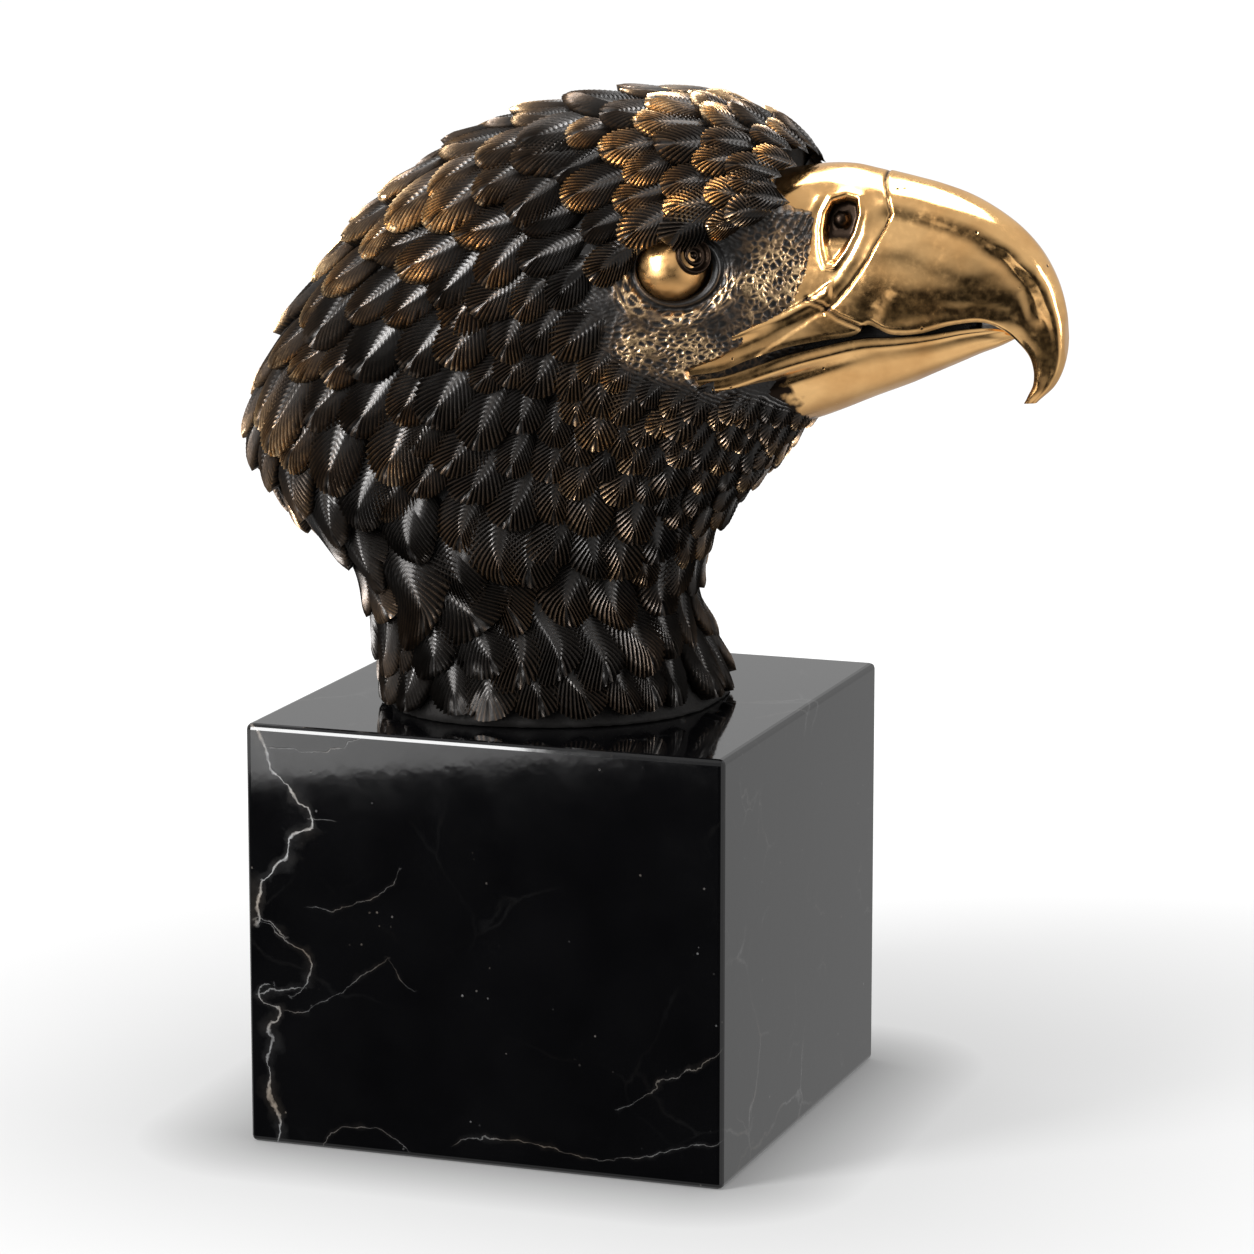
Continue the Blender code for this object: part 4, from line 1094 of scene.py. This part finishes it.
def black_marble():
    """Polished black marble: the front face's veins one by one, and finer ones all through the block."""
    s = Shader("veined_black_marble")
    x, y, z = s.axes()
    ragged = [s.span(s.noise(0.0075, 4.0, s.shifted(shift)), 0.25, 0.75, -0.0016, 0.0016)
              for shift in (0.0, 0.31)]
    thick = s.span(s.noise(0.006, 3.0), 0.35, 0.70, 0.35, 1.6)
    front = s.span(y, PLINTH_LOW.y + 0.0004, PLINTH_LOW.y + 0.004, 1.0, 0.0)
    veins = None
    for runs, line, width, strength in FRONT_VEINS:
        along, across = (z, x) if runs == "z" else (x, z)
        along, across = s.calc("ADD", along, ragged[1]), s.calc("ADD", across, ragged[0])
        mask = s.vein(along, across, line, s.calc("MULTIPLY", thick, width * MM), strength)
        veins = mask if veins is None else s.calc("MAXIMUM", veins, mask)
    veins = s.calc("MULTIPLY", veins, front)

    web = s.voronoi(26.0, s.warped(0.030, 0.020), feature="DISTANCE_TO_EDGE")
    web = s.span(web, 0.002, 0.016, 1.0, 0.0)
    web = s.calc("MULTIPLY", web, s.span(s.noise(0.045, 3.0), 0.52, 0.68, 0.0, 0.30))
    fine_web = s.voronoi(60.0, s.warped(0.011, 0.012), feature="DISTANCE_TO_EDGE")
    fine_web = s.calc("MULTIPLY", s.span(fine_web, 0.004, 0.022, 1.0, 0.0),
                      s.span(s.noise(0.028, 3.0, s.shifted(0.7)), 0.57, 0.70, 0.0, 0.20))
    speck = s.calc("MULTIPLY", s.span(s.voronoi(330.0), 0.07, 0.13, 1.0, 0.0),
                   s.span(s.noise(0.010, 2.0), 0.60, 0.66, 0.0, 0.40))
    behind = s.calc("SUBTRACT", 1.0, s.calc("MULTIPLY", front, 0.96))
    web = s.calc("MULTIPLY", s.calc("MAXIMUM", web, fine_web), behind)
    mask = s.calc("MAXIMUM", s.calc("MAXIMUM", veins, web), speck)
    mask = s.calc("MULTIPLY", mask, s.span(s.noise(0.0022, 3.0), 0.30, 0.62, 0.45, 1.0))
    pale = s.blend(s.span(s.noise(0.012, 2.0), 0.4, 0.65), (0.15, 0.15, 0.15, 1), (0.13, 0.11, 0.09, 1))
    ground = s.blend(s.noise(0.020, 4.0), (0.0003, 0.0003, 0.0004, 1), (0.0016, 0.0016, 0.0018, 1))
    colour = s.blend(mask, ground, pale)
    rough = s.calc("ADD", s.span(s.noise(0.009, 3.0), 0.3, 0.7, 0.035, 0.075), s.calc("MULTIPLY", mask, 0.18))
    normal = s.bump(s.calc("SUBTRACT", s.noise(0.004), s.calc("MULTIPLY", mask, 2.0)), 0.00002, 0.35)
    return s.finish(Base_Color=colour, Roughness=rough, Normal=normal)


# Stage

SOFTBOXES = (
    # name, place, width, height, power
    ("key", (-0.80, -1.05, 0.95), 0.42, 0.62, 58),
    ("front", (-0.75, -1.35, 0.36), 0.50, 0.50, 18),
    ("side", (1.30, 0.05, 0.50), 0.50, 0.90, 14),
    ("top", (0.05, 0.15, 1.30), 0.90, 0.70, 16),
    ("back", (-1.25, 0.60, 0.95), 0.70, 0.70, 9),
)
SOFTBOXES_AIM = (0.0, 0.0, 0.19)
# Corners of a glowing strip far in front on the floor: a painted reflection for the marble's front face.
PAINTED_REFLECTION_STRIP = ((-0.60, -0.205), (0.10, -0.72), (-0.30, -2.00), (-1.60, -1.60))


def aimed(name, data, at, aim):
    made = bpy.data.objects.new(name, data)
    made.location = at
    made.rotation_euler = (Vector(aim) - Vector(at)).to_track_quat("-Z", "Y").to_euler()
    bpy.context.scene.collection.objects.link(made)
    return made


def camera():
    data = bpy.data.cameras.new("camera")
    data.lens = CAMERA_LENS
    data.sensor_width = 36.0
    bpy.context.scene.camera = aimed("camera", data, CAMERA_AT, CAMERA_LOOKS_AT)


def softboxes():
    for name, at, width, height, power in SOFTBOXES:
        light = bpy.data.lights.new(name, "AREA")
        light.shape = "RECTANGLE"
        light.size, light.size_y = width, height
        light.energy = power
        aimed(name, light, at, SOFTBOXES_AIM)


def surroundings():
    """A white backdrop to the camera. What shines in the polish is darker below and in front, as in a studio
    whose floor and walls fall off round a lit table."""
    world = bpy.data.worlds.new("studio")
    bpy.context.scene.world = world
    s = Nodes(world, "Generated")
    x, y, z = s.axes()
    front = s.calc("MAXIMUM", s.span(z, -0.15, 0.50, 0.012, 0.70), s.span(z, -0.88, -0.50, 0.85, 0.0))
    front = s.calc("MAXIMUM", front, s.span(x, 0.45, 0.85, 0.0, 0.85))
    back = s.span(z, -0.60, 0.60, 0.45, 0.75)
    polish_sees = s.add("ShaderNodeMix", {0: s.span(y, -0.15, 0.45), 2: front, 3: back})
    to_camera = s.add("ShaderNodeLightPath", output="Is Camera Ray")
    background = s.tree.nodes["Background"].inputs
    s.put(background["Color"], (1, 1, 1, 1))
    s.put(background["Strength"], s.add("ShaderNodeMix", {0: to_camera, 2: polish_sees, 3: 1.0}))


def stage_mesh(name, corners, material):
    mesh = bpy.data.meshes.new(name)
    mesh.from_pydata(corners, [], [tuple(range(len(corners)))])
    mesh.materials.append(material)
    made = bpy.data.objects.new(name, mesh)
    bpy.context.scene.collection.objects.link(made)
    return made


def floor():
    """A pale floor that glows, dim round the plinth as a painted contact shadow and brightening into the
    backdrop away from it, and a glowing strip far in front, a painted reflection that only the polished
    marble shows."""
    size, side = 6.0, PLINTH_HIGH.x - 0.01
    s = Shader("pale_floor_with_painted_shadow")
    past = s.add("ShaderNodeVectorMath", {0: s.place}, operation="ABSOLUTE")
    past = s.vector("MAXIMUM", s.vector("SUBTRACT", past, (side, side, 0.0)), (0.0, 0.0, 0.0))
    away = s.add("ShaderNodeVectorMath", {0: past}, output="Value", operation="LENGTH")
    # Painted contact shadow: the floor's glow is dimmest by the plinth and rises into the white backdrop away
    # from it.
    painted_glow = s.calc("ADD", s.span(away, 0.0, 0.045, 0.08, 0.49), s.span(away, 0.03, 0.35, 0.0, 0.46))
    material = s.finish(Base_Color=(0.10, 0.10, 0.10, 1), Roughness=0.9, Specular_IOR_Level=0.0,
                        Emission_Color=(1, 1, 1, 1), Emission_Strength=painted_glow)
    square = ((-1, -1), (1, -1), (1, 1), (-1, 1))
    ground = stage_mesh("floor", [(x * size, y * size, PLINTH_LOW.z) for x, y in square], material)
    ground.visible_glossy = False

    # Painted reflection: a glowing strip, no lamp, that shows only in the marble's polish.
    painted_glow = Shader("painted_reflection_strip")
    painted_glow = painted_glow.finish(Base_Color=(0, 0, 0, 1), Emission_Color=(1, 1, 1, 1), Emission_Strength=1.02)
    strip = stage_mesh("painted_reflection_strip", [(x, y, PLINTH_LOW.z + 0.001) for x, y in PAINTED_REFLECTION_STRIP], painted_glow)
    strip.visible_camera = strip.visible_diffuse = strip.visible_shadow = False


def main():
    camera()
    softboxes()
    surroundings()
    floor()
    patina = patinated_bronze("patinated_bronze_cast")
    recess = patinated_bronze("patinated_bronze_recess", 0.0)
    polish, satin = polished_bronze("polished_bronze", 0.13), polished_bronze("satin_bronze", 0.24)
    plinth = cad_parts["marble_plinth"]
    plinth.data.materials.clear()
    plinth.data.materials.append(black_marble())
    bronze = build_plumage(patina)
    bronze += [build_underskin(recess), build_mouth_core(recess)]
    bronze += [build_face(side, patina) for side in (RIGHT, LEFT)]
    bronze += [build_upper_beak(polish), build_lower_beak(polish)]
    bronze += [build_eye(side, satin) for side in (RIGHT, LEFT)]
    for piece in bronze:
        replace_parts(bronze_piece(piece), "eagle_bust")
    settings = bpy.context.scene.view_settings
    settings.view_transform = "Standard"
    settings.look = "None"


main()
